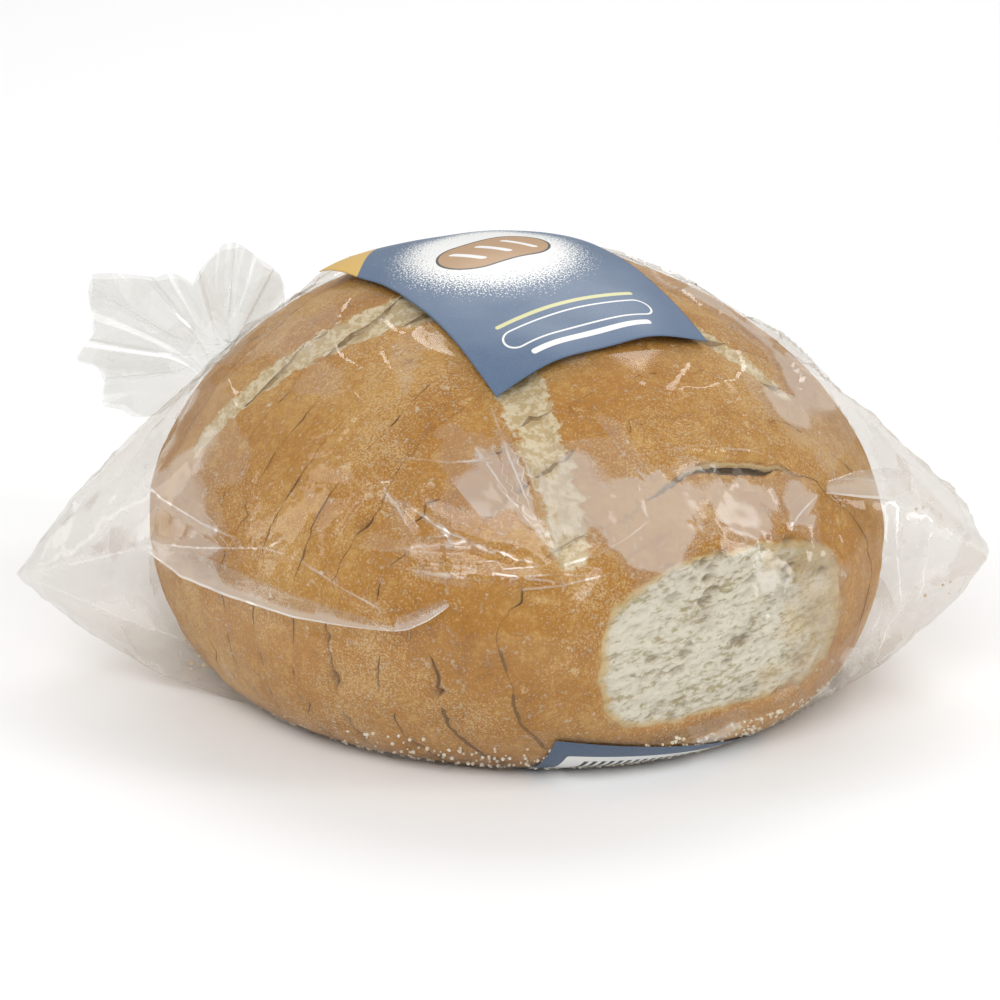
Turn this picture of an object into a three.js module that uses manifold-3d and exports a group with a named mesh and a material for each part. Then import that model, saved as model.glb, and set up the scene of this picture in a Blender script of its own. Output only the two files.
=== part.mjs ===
// A sliced round sourdough loaf, sealed in a clear bag with two paper labels.
//
// Millimetres, +Z up. The loaf stands on z = 0 with the origin under the middle of its base.
// The slices are cut square to the direction "along", which points to the front right; "across"
// is level and square to it. The bag is one solid that follows the bread: slice grooves, the open
// gap behind the end crust, the scored cross, two pulled-out corners and the gathered tail.

import * as THREE from 'three';
import { mergeVertices } from 'three/addons/utils/BufferGeometryUtils.js';
import Module from 'manifold-3d';

// Loaf
const LOAF_LENGTH = 189; // along
const LOAF_WIDTH = 172; // across
const LOAF_HEIGHT = 101;
const WIDEST_LEVEL = 36.5; // height of the widest place
const BASE_SHARE = 0.77; // size of the flat base as a share of the widest place
const DOME_POWER = 1.75; // 2 is a round dome, 1 a straight cone
const SLICE_TURN = THREE.MathUtils.degToRad(31.4); // "along" is turned this far from the front

// Slices
const SLICE_THICKNESS = 10.9;
const SLICE_COUNT = 14;
const GROOVE_DEPTH = 1.3;
const GROOVE_HALF_WIDTH = 1.1;
const END_GAP_DEPTH = 4.5; // the gap behind the front end crust stands open
const END_DROP = 1.5; // the end crust is a little smaller than the slice behind it
const TORN_FACE_AT = 86; // the torn flat face of the front end crust, along
const TORN_BUMP = 0.9;
const TORN_MIDDLE = 3; // the torn face's middle lies this far across and this far down

// Scored cross: shallow bands, each from one place in the plan to another
const SCORE_WIDTH = 11;
const SCORE_DEPTH = 1.5;
const LUMP_HEIGHT = 0.9;
const SCORES = [
  { from: [-14, -22], to: [-66, -25] },
  { from: [-8, -34], to: [15, -82] },
  { from: [26, -14], to: [64, -40] },
  { from: [4, 22], to: [-20, 70] },
];

// Bag: how far its corners and its neck are pulled out, and how wide each pull starts
const BAG_CENTRE = new THREE.Vector3(0, 0, WIDEST_LEVEL);
const FILM_CLEARANCE = 0.5;
const PULLS = [
  { tip: new THREE.Vector3(-118, -15, 25), turn: 31, rise: 42 }, // left corner
  { tip: new THREE.Vector3(112, -25, 35), turn: 31, rise: 40 }, // right corner
  { tip: new THREE.Vector3(-70, 84, 44), turn: 34, rise: 38 }, // neck
];

// Neck and tail
const NECK = PULLS[2].tip;
const NECK_DIRECTION = NECK.clone().sub(BAG_CENTRE).normalize();
const NECK_RADIUS = 6.5;
const NECK_LENGTH = 22;
const TAIL_START = 6; // along the neck, past the tie
const TAIL_CORE = 22; // shortest reach of the fan from its root
const TAIL_LOBES = [
  { at: 168, spread: 34, length: 20.5 }, // degrees in the upright plane of the tail
  { at: 78, spread: 24, length: 10 },
];
const TAIL_FROM = 45;
const TAIL_TO = 204;
const TAIL_THICKNESS = 3.2;
const TAIL_PLEAT_DEPTH = 4.5;
const TAIL_PLEATS = 6;
const TAIL_LEAN = 5; // the rim stands this far behind the root
const TIE_WIDTH = 5;
const TIE_THICKNESS = 1.4;
const TIE_CHAMFER = 0.4;
const TIE_AT = 1; // along the neck from its narrowest place

// Labels
const SKIN_GAP = 0.35;
const LABEL_THICKNESS = 0.35;
const LABEL_LIFT = 0.8; // clear of the dough's unevenness
const TOP_LABEL = { along: [-44, 47.5], across: [-34, 23], corner: 3 };
const BASE_LABEL = { end: 4, across: [-38, 20], climb: 12.5 };
const POCKET_OVERSHOOT = 2; // the base label's pocket is cut from this far outside the bag

// Mesh fineness
const SECTION_POINTS = 52;
const ROUND_END_SECTIONS = 6;
const TORN_RINGS = 6;
const LABEL_STEPS = [18, 12];
const BASE_STEPS = [12, 15];
const TAIL_STEPS = [36, 9];
const NECK_SIDES = 28;
const SMALLEST_STEP = 0.02; // finer facets than this are merged

const wasm = await Module();
wasm.setup();

const ALONG = new THREE.Vector3(Math.sin(SLICE_TURN), -Math.cos(SLICE_TURN), 0);
const ACROSS = new THREE.Vector3(Math.cos(SLICE_TURN), Math.sin(SLICE_TURN), 0);
const UP = new THREE.Vector3(0, 0, 1);

/** A place given as distances along, across and up. */
function place(along, across, height) {
  return new THREE.Vector3()
    .addScaledVector(ALONG, along)
    .addScaledVector(ACROSS, across)
    .addScaledVector(UP, height);
}

/** The loaf's size in the plan at one height, as a share of its widest place. */
function planShare(height) {
  if (height >= WIDEST_LEVEL) {
    const rise = Math.min((height - WIDEST_LEVEL) / (LOAF_HEIGHT - WIDEST_LEVEL), 1);
    return Math.pow(1 - Math.pow(rise, DOME_POWER), 1 / DOME_POWER);
  }
  const drop = Math.min(1 - height / WIDEST_LEVEL, 1);
  return 1 - (1 - BASE_SHARE) * (1 - Math.sqrt(1 - drop * drop));
}

function insideLoaf(along, across, height) {
  if (height < 0 || height > LOAF_HEIGHT) return false;
  return Math.hypot(along / (LOAF_LENGTH / 2), across / (LOAF_WIDTH / 2)) < planShare(height);
}

/** Distance from an inner point to the loaf's surface, halving the interval until it is fine. */
function reach(along, across, height, direction) {
  let near = 0;
  let far = LOAF_LENGTH;
  while (far - near > 1e-3) {
    const middle = (near + far) / 2;
    const [stepAlong, stepAcross, stepUp] = direction.map((share) => share * middle);
    if (insideLoaf(along + stepAlong, across + stepAcross, height + stepUp)) near = middle;
    else far = middle;
  }
  return (near + far) / 2;
}

/** Azimuth and elevation of a point as seen from the middle of the bag. */
function bearing(point) {
  const ray = point.clone().sub(BAG_CENTRE);
  return {
    turn: Math.atan2(ray.y, ray.x),
    rise: Math.atan2(ray.z, Math.hypot(ray.x, ray.y)),
    distance: ray.length(),
  };
}

for (const pull of PULLS) {
  const { turn, rise, distance } = bearing(pull.tip);
  const ray = pull.tip.clone().sub(BAG_CENTRE).normalize();
  const loafReach = reach(0, 0, WIDEST_LEVEL, [ray.dot(ALONG), ray.dot(ACROSS), ray.z]);
  pull.bearing = { turn, rise };
  pull.angle = Math.acos(loafReach / distance);
}

/** How strongly a point is drawn towards a pulled-out corner: 1 at its tip, 0 outside. */
function pullShare(pull, point) {
  const { turn, rise } = bearing(point);
  const turned = Math.atan2(Math.sin(turn - pull.bearing.turn), Math.cos(turn - pull.bearing.turn));
  const sideways = THREE.MathUtils.radToDeg(turned) / pull.turn;
  const upwards = THREE.MathUtils.radToDeg(rise - pull.bearing.rise) / pull.rise;
  return Math.max(0, 1 - Math.hypot(sideways, upwards));
}

/** Stretch a point of the bag outwards along straight lines to the pulled-out corners. */
function stretched(point) {
  let factor = 1;
  for (const pull of PULLS) {
    factor = Math.max(factor, 1 / Math.cos(pull.angle * pullShare(pull, point)));
  }
  const moved = point.clone().sub(BAG_CENTRE).multiplyScalar(factor).add(BAG_CENTRE);
  moved.z = Math.max(moved.z, 0);
  return moved;
}

/** Depth of the scored cross at one place of the plan. */
function scoreDepth(x, y) {
  let depth = 0;
  for (const { from, to } of SCORES) {
    const start = new THREE.Vector2(...from);
    const run = new THREE.Vector2(...to).sub(start);
    const offset = new THREE.Vector2(x, y).sub(start);
    const along = THREE.MathUtils.clamp(offset.dot(run) / run.lengthSq(), 0, 1);
    const away = offset.sub(run.multiplyScalar(along)).length() / (SCORE_WIDTH / 2);
    depth = Math.max(depth, SCORE_DEPTH * Math.max(0, 1 - away * away));
  }
  return depth;
}

/** Slow unevenness of hand-shaped dough, none at the very top, under the label. */
function lump({ x, y, z }) {
  const fade = 1 - (z / LOAF_HEIGHT) ** 2;
  return LUMP_HEIGHT * fade * Math.sin(x / 17 + 1.3) * Math.cos(y / 21) * Math.sin(z / 15 + 0.6);
}

/** One closed ring of bag points around the loaf, square to "along". */
function section(along, shrink) {
  const ring = [];
  for (let index = 0; index < SECTION_POINTS; index += 1) {
    const angle = (2 * Math.PI * index) / SECTION_POINTS;
    const direction = [0, Math.cos(angle), Math.sin(angle)];
    const surface = reach(along, 0, WIDEST_LEVEL, direction);
    const plain = place(along, surface * direction[1], WIDEST_LEVEL + surface * direction[2]);
    const drawn = PULLS.reduce((most, pull) => Math.max(most, pullShare(pull, plain)), 0);
    const relief = (lump(plain) - shrink - scoreDepth(plain.x, plain.y)) * (1 - drawn);
    const onBase = plain.z < 1;
    const size = onBase ? surface : Math.max(surface + relief + FILM_CLEARANCE, 0);
    const settled = place(along, size * direction[1], WIDEST_LEVEL + size * direction[2]);
    ring.push(stretched(settled));
  }
  return ring;
}

/** Where the sections of the loaf stand, and how far each is drawn in. */
function sectionPlan() {
  const firstCut = (SLICE_THICKNESS * SLICE_COUNT) / 2;
  const roundFrom = firstCut + 2 * GROOVE_HALF_WIDTH;
  const plan = [];
  for (let step = ROUND_END_SECTIONS; step > 0; step -= 1) {
    const share = Math.sin(((step - 0.4) / ROUND_END_SECTIONS) * (Math.PI / 2));
    plan.push({ along: -THREE.MathUtils.lerp(roundFrom, LOAF_LENGTH / 2, share), shrink: 0 });
  }
  for (let cut = SLICE_COUNT; cut >= 0; cut -= 1) {
    const at = firstCut - cut * SLICE_THICKNESS;
    const isEnd = cut === 0;
    const uneven = 0.3 * Math.sin(cut * 2.4);
    plan.push({ along: at - GROOVE_HALF_WIDTH, shrink: uneven });
    plan.push({ along: at, shrink: uneven + (isEnd ? END_GAP_DEPTH : GROOVE_DEPTH) });
    plan.push({ along: at + GROOVE_HALF_WIDTH, shrink: isEnd ? END_DROP : -uneven });
  }
  for (const along of [(firstCut + TORN_FACE_AT) / 2 + 1, TORN_FACE_AT]) {
    plan.push({ along, shrink: END_DROP / 3 });
  }
  return plan;
}

function meshGeometry(points, triangles) {
  const geometry = new THREE.BufferGeometry();
  const flat = points.flatMap((point) => [point.x, point.y, point.z]);
  geometry.setAttribute('position', new THREE.Float32BufferAttribute(flat, 3));
  geometry.setIndex(triangles);
  return geometry;
}

/** Triangles between two rings of equal length that start at the given point numbers. */
function bridge(first, second, count, triangles) {
  for (let index = 0; index < count; index += 1) {
    const next = (index + 1) % count;
    triangles.push(first + index, first + next, second + next);
    triangles.push(first + index, second + next, second + index);
  }
}

/** The bread's outer form with its grooves, gap, scored cross and pulled-out bag corners. */
function loafForm() {
  const plan = sectionPlan();
  const points = [];
  const triangles = [];
  for (const { along, shrink } of plan) points.push(...section(along, shrink));
  for (let ring = 0; ring + 1 < plan.length; ring += 1) {
    bridge(ring * SECTION_POINTS, (ring + 1) * SECTION_POINTS, SECTION_POINTS, triangles);
  }
  const pole = points.push(stretched(place(-LOAF_LENGTH / 2, 0, WIDEST_LEVEL))) - 1;
  for (let index = 0; index < SECTION_POINTS; index += 1) {
    triangles.push(pole, (index + 1) % SECTION_POINTS, index);
  }
  addTornFace(points, triangles, (plan.length - 1) * SECTION_POINTS);
  return meshGeometry(points, triangles);
}

/** Bumps of open crumb on the torn end. */
function crumbBump(point) {
  const across = point.dot(ACROSS);
  return TORN_BUMP * (Math.sin(across / 2.7 + 0.4) * Math.sin(point.z / 2.4) - 0.4);
}

/** The flat torn end: rings that close on its middle, bumpy like open crumb. */
function addTornFace(points, triangles, outerRing) {
  const rim = points.slice(outerRing, outerRing + SECTION_POINTS);
  const middle = place(TORN_FACE_AT, TORN_MIDDLE, WIDEST_LEVEL - TORN_MIDDLE);
  let last = outerRing;
  for (let ring = 1; ring < TORN_RINGS; ring += 1) {
    const share = 1 - ring / TORN_RINGS;
    const start = points.length;
    for (const edge of rim) {
      const point = middle.clone().lerp(edge, share);
      points.push(point.addScaledVector(ALONG, crumbBump(point)));
    }
    bridge(last, start, SECTION_POINTS, triangles);
    last = start;
  }
  const centre = points.push(middle) - 1;
  for (let index = 0; index < SECTION_POINTS; index += 1) {
    triangles.push(centre, last + index, last + ((index + 1) % SECTION_POINTS));
  }
}

/** A closed slab between two grids of points, the second behind the first. */
function slab(front, back, columns, rows) {
  const points = [...front, ...back];
  const triangles = [];
  const at = (column, row) => column * (rows + 1) + row;
  const behind = front.length;
  for (let column = 0; column < columns; column += 1) {
    for (let row = 0; row < rows; row += 1) {
      const [a, b] = [at(column, row), at(column + 1, row)];
      const [c, d] = [at(column + 1, row + 1), at(column, row + 1)];
      triangles.push(a, b, c, a, c, d);
      triangles.push(behind + a, behind + c, behind + b, behind + a, behind + d, behind + c);
    }
  }
  const border = [];
  for (let column = 0; column < columns; column += 1) border.push(at(column, 0));
  for (let row = 0; row < rows; row += 1) border.push(at(columns, row));
  for (let column = columns; column > 0; column -= 1) border.push(at(column, rows));
  for (let row = rows; row > 0; row -= 1) border.push(at(0, row));
  border.forEach((point, index) => {
    const next = border[(index + 1) % border.length];
    triangles.push(point, behind + point, behind + next, point, behind + next, next);
  });
  return meshGeometry(points, triangles);
}

/** Turn a round piece from its own Y axis to the neck's and set it at a distance along the neck. */
function setOnNeck(geometry, distance) {
  const upright = new THREE.Vector3(0, 1, 0);
  geometry.applyQuaternion(new THREE.Quaternion().setFromUnitVectors(upright, NECK_DIRECTION));
  const middle = NECK.clone().addScaledVector(NECK_DIRECTION, distance);
  return geometry.translate(middle.x, middle.y, middle.z);
}

/** The gathered film below and above the tie: a short round stem that points out of the bag. */
function neckStem() {
  const stem = new THREE.CylinderGeometry(NECK_RADIUS, NECK_RADIUS, NECK_LENGTH, NECK_SIDES, 1);
  return setOnNeck(stem, TAIL_START + TIE_WIDTH - NECK_LENGTH / 2);
}

/** Reach of the fan at one angle: a short core with two flat-topped lobes. */
function tailLength(degrees) {
  const lobe = ({ at, spread, length }) => length * Math.exp(-(((degrees - at) / spread) ** 4));
  return TAIL_LOBES.reduce((sum, each) => sum + lobe(each), TAIL_CORE);
}

/** The tail past the tie: a pleated fan that opens upwards and to the left, two lobes wide. */
function tailFan() {
  const root = NECK.clone().addScaledVector(NECK_DIRECTION, TAIL_START + TIE_WIDTH / 2);
  const [turns, steps] = TAIL_STEPS;
  const sides = { front: [], back: [] };
  for (let turn = 0; turn <= turns; turn += 1) {
    const share = turn / turns;
    const degrees = THREE.MathUtils.lerp(TAIL_FROM, TAIL_TO, share);
    const angle = THREE.MathUtils.degToRad(degrees);
    const length = tailLength(degrees);
    for (let step = 0; step <= steps; step += 1) {
      const out = THREE.MathUtils.lerp(0.08, 1, step / steps);
      const wave = TAIL_PLEAT_DEPTH * out * Math.sin(share * TAIL_PLEATS * 2 * Math.PI);
      const middle = root.clone();
      middle.x += length * out * Math.cos(angle);
      middle.z += length * out * Math.sin(angle);
      middle.y += wave + TAIL_LEAN * out;
      const half = (TAIL_THICKNESS / 2) * (2.5 - 1.5 * out);
      sides.front.push(middle.clone().setY(middle.y - half));
      sides.back.push(middle.clone().setY(middle.y + half));
    }
  }
  return slab(sides.back, sides.front, turns, steps);
}

/** The ring that holds the neck shut, its hole a little wider than the film. */
function tieBand() {
  const inner = NECK_RADIUS + SKIN_GAP;
  const outer = inner + TIE_THICKNESS;
  const half = TIE_WIDTH / 2;
  const profile = [
    [inner, -half],
    [outer, TIE_CHAMFER - half],
    [outer, half - TIE_CHAMFER],
    [inner, half],
    [inner, -half],
  ].map(([radius, height]) => new THREE.Vector2(radius, height));
  return setOnNeck(new THREE.LatheGeometry(profile, NECK_SIDES), TIE_AT);
}

/** Height of the smooth bag over one place of the plan. */
function bagTop(along, across) {
  const share = Math.hypot(along / (LOAF_LENGTH / 2), across / (LOAF_WIDTH / 2));
  const rise = Math.pow(1 - Math.pow(Math.min(share, 1), DOME_POWER), 1 / DOME_POWER);
  return WIDEST_LEVEL + (LOAF_HEIGHT - WIDEST_LEVEL) * rise;
}

/** The paper label on top, bent over the dome, with rounded corners. */
function topLabel() {
  const [columns, rows] = LABEL_STEPS;
  const [start, end] = TOP_LABEL.along;
  const [left, right] = TOP_LABEL.across;
  const lower = [];
  const upper = [];
  const clearance = FILM_CLEARANCE + LABEL_LIFT;
  for (let column = 0; column <= columns; column += 1) {
    const along = THREE.MathUtils.lerp(start, end, column / columns);
    const nearEnd = Math.min(along - start, end - along);
    const cut = Math.max(0, TOP_LABEL.corner - nearEnd);
    const inset = TOP_LABEL.corner - Math.sqrt(TOP_LABEL.corner ** 2 - cut ** 2);
    for (let row = 0; row <= rows; row += 1) {
      const across = THREE.MathUtils.lerp(left + inset, right - inset, row / rows);
      const height = bagTop(along, across) + clearance;
      lower.push(place(along, across, height));
      upper.push(place(along, across, height + LABEL_THICKNESS));
    }
  }
  return slab(upper, lower, columns, rows);
}

/** Path of the base label at one distance across: down the front of the loaf, then under it. */
function basePath(across, climb, end, steps) {
  const path = [];
  const side = Math.round(steps / 3);
  for (let step = 0; step <= steps; step += 1) {
    if (step < side) {
      const height = climb * (1 - step / side) ** 1.6;
      const share = Math.sqrt(planShare(height) ** 2 - (across / (LOAF_WIDTH / 2)) ** 2);
      path.push({ along: Math.min((share * LOAF_LENGTH) / 2, TORN_FACE_AT), height });
    } else {
      const share = Math.sqrt(BASE_SHARE ** 2 - (across / (LOAF_WIDTH / 2)) ** 2);
      const edge = (share * LOAF_LENGTH) / 2;
      path.push({ along: THREE.MathUtils.lerp(edge, end, (step - side) / (steps - side)), height: 0 });
    }
  }
  return path;
}

/** A skin over the base label's place, from one depth below the bag's surface to another. */
function baseSkin(inner, outer, grow) {
  const [columns, rows] = BASE_STEPS;
  const [left, right] = BASE_LABEL.across;
  const low = [];
  const high = [];
  for (let column = 0; column <= columns; column += 1) {
    const across = THREE.MathUtils.lerp(left - grow, right + grow, column / columns);
    const path = basePath(across, BASE_LABEL.climb + grow, BASE_LABEL.end - grow, rows);
    path.forEach(({ along, height }, index) => {
      const before = path[Math.max(index - 1, 0)];
      const after = path[Math.min(index + 1, path.length - 1)];
      const slope = new THREE.Vector2(after.along - before.along, after.height - before.height);
      const normal = new THREE.Vector2(-slope.y, slope.x).normalize();
      if (height === 0) normal.set(0, -1);
      low.push(place(along + normal.x * inner, across, height + normal.y * inner));
      high.push(place(along + normal.x * outer, across, height + normal.y * outer));
    });
  }
  return slab(low, high, columns, rows);
}

/** Geometry to manifold, with shared vertices merged. */
function toSolid(geometry) {
  const plain = geometry.clone();
  plain.deleteAttribute('normal');
  plain.deleteAttribute('uv');
  const merged = mergeVertices(plain, 1e-4);
  const mesh = new wasm.Mesh({
    numProp: 3,
    vertProperties: merged.attributes.position.array,
    triVerts: new Uint32Array(merged.index.array),
  });
  mesh.merge();
  return new wasm.Manifold(mesh);
}

/** Manifold back to geometry. */
function toGeometry(solid) {
  const { vertProperties, triVerts } = solid.getMesh();
  const geometry = new THREE.BufferGeometry();
  geometry.setAttribute('position', new THREE.BufferAttribute(vertProperties, 3));
  geometry.setIndex(new THREE.BufferAttribute(triVerts, 1));
  return geometry;
}

function baggedLoaf() {
  const pocket = toSolid(baseSkin(-LABEL_THICKNESS - SKIN_GAP, POCKET_OVERSHOOT, SKIN_GAP));
  const whole = toSolid(loafForm()).add(toSolid(neckStem())).add(toSolid(tailFan()));
  return toGeometry(whole.subtract(pocket).simplify(SMALLEST_STEP));
}

function named(name, geometry, color, roughness) {
  const material = new THREE.MeshStandardMaterial({ color, roughness, metalness: 0 });
  geometry.computeVertexNormals();
  const mesh = new THREE.Mesh(geometry, material);
  mesh.name = name;
  return mesh;
}

const loaf = new THREE.Group();
loaf.add(named('bagged_loaf', baggedLoaf(), 0xb98556, 0.45));
loaf.add(named('top_label', topLabel(), 0x6a7f9e, 0.5));
loaf.add(named('base_label', baseSkin(-LABEL_THICKNESS, 0, 0), 0x6a7f9e, 0.5));
loaf.add(named('neck_tie', tieBand(), 0xf2f2ee, 0.5));

export default loaf;
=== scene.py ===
"""A sliced round sourdough loaf in a clear bag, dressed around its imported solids.

Metres, +Z up. The loaf is cut square to the direction "along", which points to the front right,
and "across" is level and square to it. All pieces ride on the one body and stand for solids.
"""

import logging
import math
from contextlib import contextmanager
from dataclasses import dataclass, field
from enum import Enum
from typing import Iterator

import bpy
import numpy as np
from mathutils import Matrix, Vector, noise
from mathutils.bvhtree import BVHTree


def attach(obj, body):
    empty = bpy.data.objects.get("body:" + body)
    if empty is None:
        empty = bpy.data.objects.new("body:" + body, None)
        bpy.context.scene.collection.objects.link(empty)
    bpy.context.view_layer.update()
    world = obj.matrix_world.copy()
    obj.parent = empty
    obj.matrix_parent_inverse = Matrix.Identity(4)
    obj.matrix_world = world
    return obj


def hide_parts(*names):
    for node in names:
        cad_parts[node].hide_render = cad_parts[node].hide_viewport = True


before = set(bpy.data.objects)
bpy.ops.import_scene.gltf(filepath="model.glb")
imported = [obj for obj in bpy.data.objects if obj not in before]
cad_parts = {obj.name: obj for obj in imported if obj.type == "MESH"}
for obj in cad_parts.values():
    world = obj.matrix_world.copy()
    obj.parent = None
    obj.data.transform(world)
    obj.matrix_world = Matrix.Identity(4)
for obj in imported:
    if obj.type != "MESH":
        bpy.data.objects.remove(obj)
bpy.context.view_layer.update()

MM = 0.001
BODY = "root"
PHOTO_WIDTH = 1000

log = logging.getLogger("loaf")


class Slot(Enum):
    """The record's material slots."""

    BREAD = "bread_in_film"
    LABEL = "label_paper"
    TIE = "tie"


class Node(Enum):
    """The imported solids."""

    BAG = "bagged_loaf"
    TOP_LABEL = "top_label"
    BASE_LABEL = "base_label"
    TIE = "neck_tie"


# Working with meshes


def deselect_all() -> None:
    """Leave nothing selected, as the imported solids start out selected."""
    bpy.ops.object.select_all(action="DESELECT")


@contextmanager
def edit_mode(obj: bpy.types.Object, pick: str = "VERT") -> Iterator[None]:
    """Work on one object in edit mode.

    Args:
        obj: The object to edit.
        pick: VERT, EDGE or FACE, what operators select.
    """
    deselect_all()
    bpy.context.view_layer.objects.active = obj
    obj.select_set(True)
    bpy.ops.object.mode_set(mode="EDIT")
    bpy.ops.mesh.select_mode(type=pick)
    yield
    bpy.ops.object.mode_set(mode="OBJECT")
    deselect_all()


def read_points(obj: bpy.types.Object) -> np.ndarray:
    """The vertices of a mesh object as rows of x, y, z.

    Args:
        obj: A mesh object.

    Returns:
        One row for each vertex.
    """
    flat = np.empty(len(obj.data.vertices) * 3)
    obj.data.vertices.foreach_get("co", flat)
    return flat.reshape(-1, 3)


def write_points(obj: bpy.types.Object, points: np.ndarray) -> None:
    """Put new places into a mesh object's vertices."""
    obj.data.vertices.foreach_set("co", np.ascontiguousarray(points, dtype=np.float64).ravel())
    obj.data.update()


def write_value(obj: bpy.types.Object, name: str, values: np.ndarray) -> None:
    """Store one number for each vertex, for the material to read."""
    attribute = obj.data.attributes.new(name, "FLOAT", "POINT")
    attribute.data.foreach_set("value", np.ascontiguousarray(values, dtype=np.float32))


def write_place(obj: bpy.types.Object, name: str, places: np.ndarray) -> None:
    """Store a place for each vertex, for a pattern that follows the piece."""
    attribute = obj.data.attributes.new(name, "FLOAT_VECTOR", "POINT")
    attribute.data.foreach_set("vector", np.ascontiguousarray(places, dtype=np.float32).ravel())


def write_uv(obj: bpy.types.Object, flat: np.ndarray) -> None:
    """Store a flat place for each vertex as the piece's UV map.

    Args:
        obj: A mesh object.
        flat: Rows of u, v.
    """
    layer = obj.data.uv_layers.new(name="flat")
    index = np.empty(len(obj.data.loops), dtype=np.int32)
    obj.data.loops.foreach_get("vertex_index", index)
    layer.data.foreach_set("uv", np.ascontiguousarray(flat[index], dtype=np.float32).ravel())


def cut_side(tube: bpy.types.Object, rows: int) -> None:
    """Cut rows of edges round the side of a cylinder that stands along Z.

    Args:
        tube: The cylinder, 1 high.
        rows: How many rows.
    """
    with edit_mode(tube, "EDGE"):
        bpy.ops.mesh.select_all(action="DESELECT")
        bpy.ops.object.mode_set(mode="OBJECT")
        points = read_points(tube)
        for edge in tube.data.edges:
            low, high = (points[index, 2] for index in edge.vertices)
            edge.select = bool(abs(high - low) > 0.5)
        bpy.ops.object.mode_set(mode="EDIT")
        bpy.ops.mesh.subdivide(number_cuts=rows)


def point_normals(obj: bpy.types.Object) -> np.ndarray:
    """Outward directions at the vertices.

    Args:
        obj: A mesh object.

    Returns:
        One row for each vertex.
    """
    flat = np.empty(len(obj.data.vertices) * 3)
    obj.data.vertices.foreach_get("normal", flat)
    return flat.reshape(-1, 3)


def face_outwards(obj: bpy.types.Object) -> None:
    """Turn all faces of a closed mesh outwards.

    Args:
        obj: A mesh object.
    """
    with edit_mode(obj):
        bpy.ops.mesh.select_all(action="SELECT")
        bpy.ops.mesh.normals_make_consistent(inside=False)


def smooth(obj: bpy.types.Object, angle: float | None = None) -> None:
    """Shade smoothly, with edges sharper than the angle kept where one is given.

    Args:
        obj: A mesh object.
        angle: Radians, or None to smooth all edges.
    """
    deselect_all()
    bpy.context.view_layer.objects.active = obj
    obj.select_set(True)
    if angle is None:
        bpy.ops.object.shade_smooth()
    else:
        bpy.ops.object.shade_smooth_by_angle(angle=angle)
    deselect_all()


def settle(obj: bpy.types.Object, name: str, node: Node,
           finish: bpy.types.Material) -> None:
    """Name a finished piece, give it its finish, tie it to the body and hide the solid it stands for.

    Args:
        obj: The piece.
        name: Its name.
        node: The solid it replaces.
        finish: Its material.
    """
    obj.name = name
    obj.data.name = name
    obj.data.materials.clear()
    obj.data.materials.append(finish)
    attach(obj, BODY)
    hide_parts(node.value)
    log.info("%s: %d vertices", name, len(obj.data.vertices))


def grain(points: np.ndarray, size: float, seed: float = 0.0) -> np.ndarray:
    """Smooth noise from -1 to 1 at each point.

    Args:
        points: Rows of x, y, z.
        size: The size of its lumps.
        seed: Another number gives other noise.
    """
    offset = Vector((seed, seed * 1.7, seed * 0.6))
    return np.array([noise.noise(Vector(point) + offset) for point in points / size])


def cells(points: np.ndarray, size: float) -> tuple[np.ndarray, np.ndarray, np.ndarray]:
    """Distances to the nearest and second nearest cell middles, in cell sizes, and a cell number.

    Args:
        points: Rows of x, y, z.
        size: The usual distance between middles.

    Returns:
        The nearest distance, the second nearest, and a steady number from 0 to 1 for the cell.
    """
    near = np.empty(len(points))
    second = np.empty(len(points))
    number = np.empty(len(points))
    for index, point in enumerate(points / size):
        distances, middles = noise.voronoi(Vector(point))
        near[index], second[index] = distances[0], distances[1]
        number[index] = noise.cell(middles[0] * 7.3)
    return near, second, number


def smoothstep(low: float, high: float, value: np.ndarray) -> np.ndarray:
    """0 below low, 1 above high, and a smooth rise between them."""
    share = np.clip((value - low) / (high - low), 0.0, 1.0)
    return share * share * (3.0 - 2.0 * share)


# Form of the loaf and of the bag


@dataclass(frozen=True)
class Score:
    """A scored band between two places of the plan, with its width at each, in millimetres."""

    start: tuple[float, float]
    end: tuple[float, float]
    width: float
    end_width: float


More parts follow.
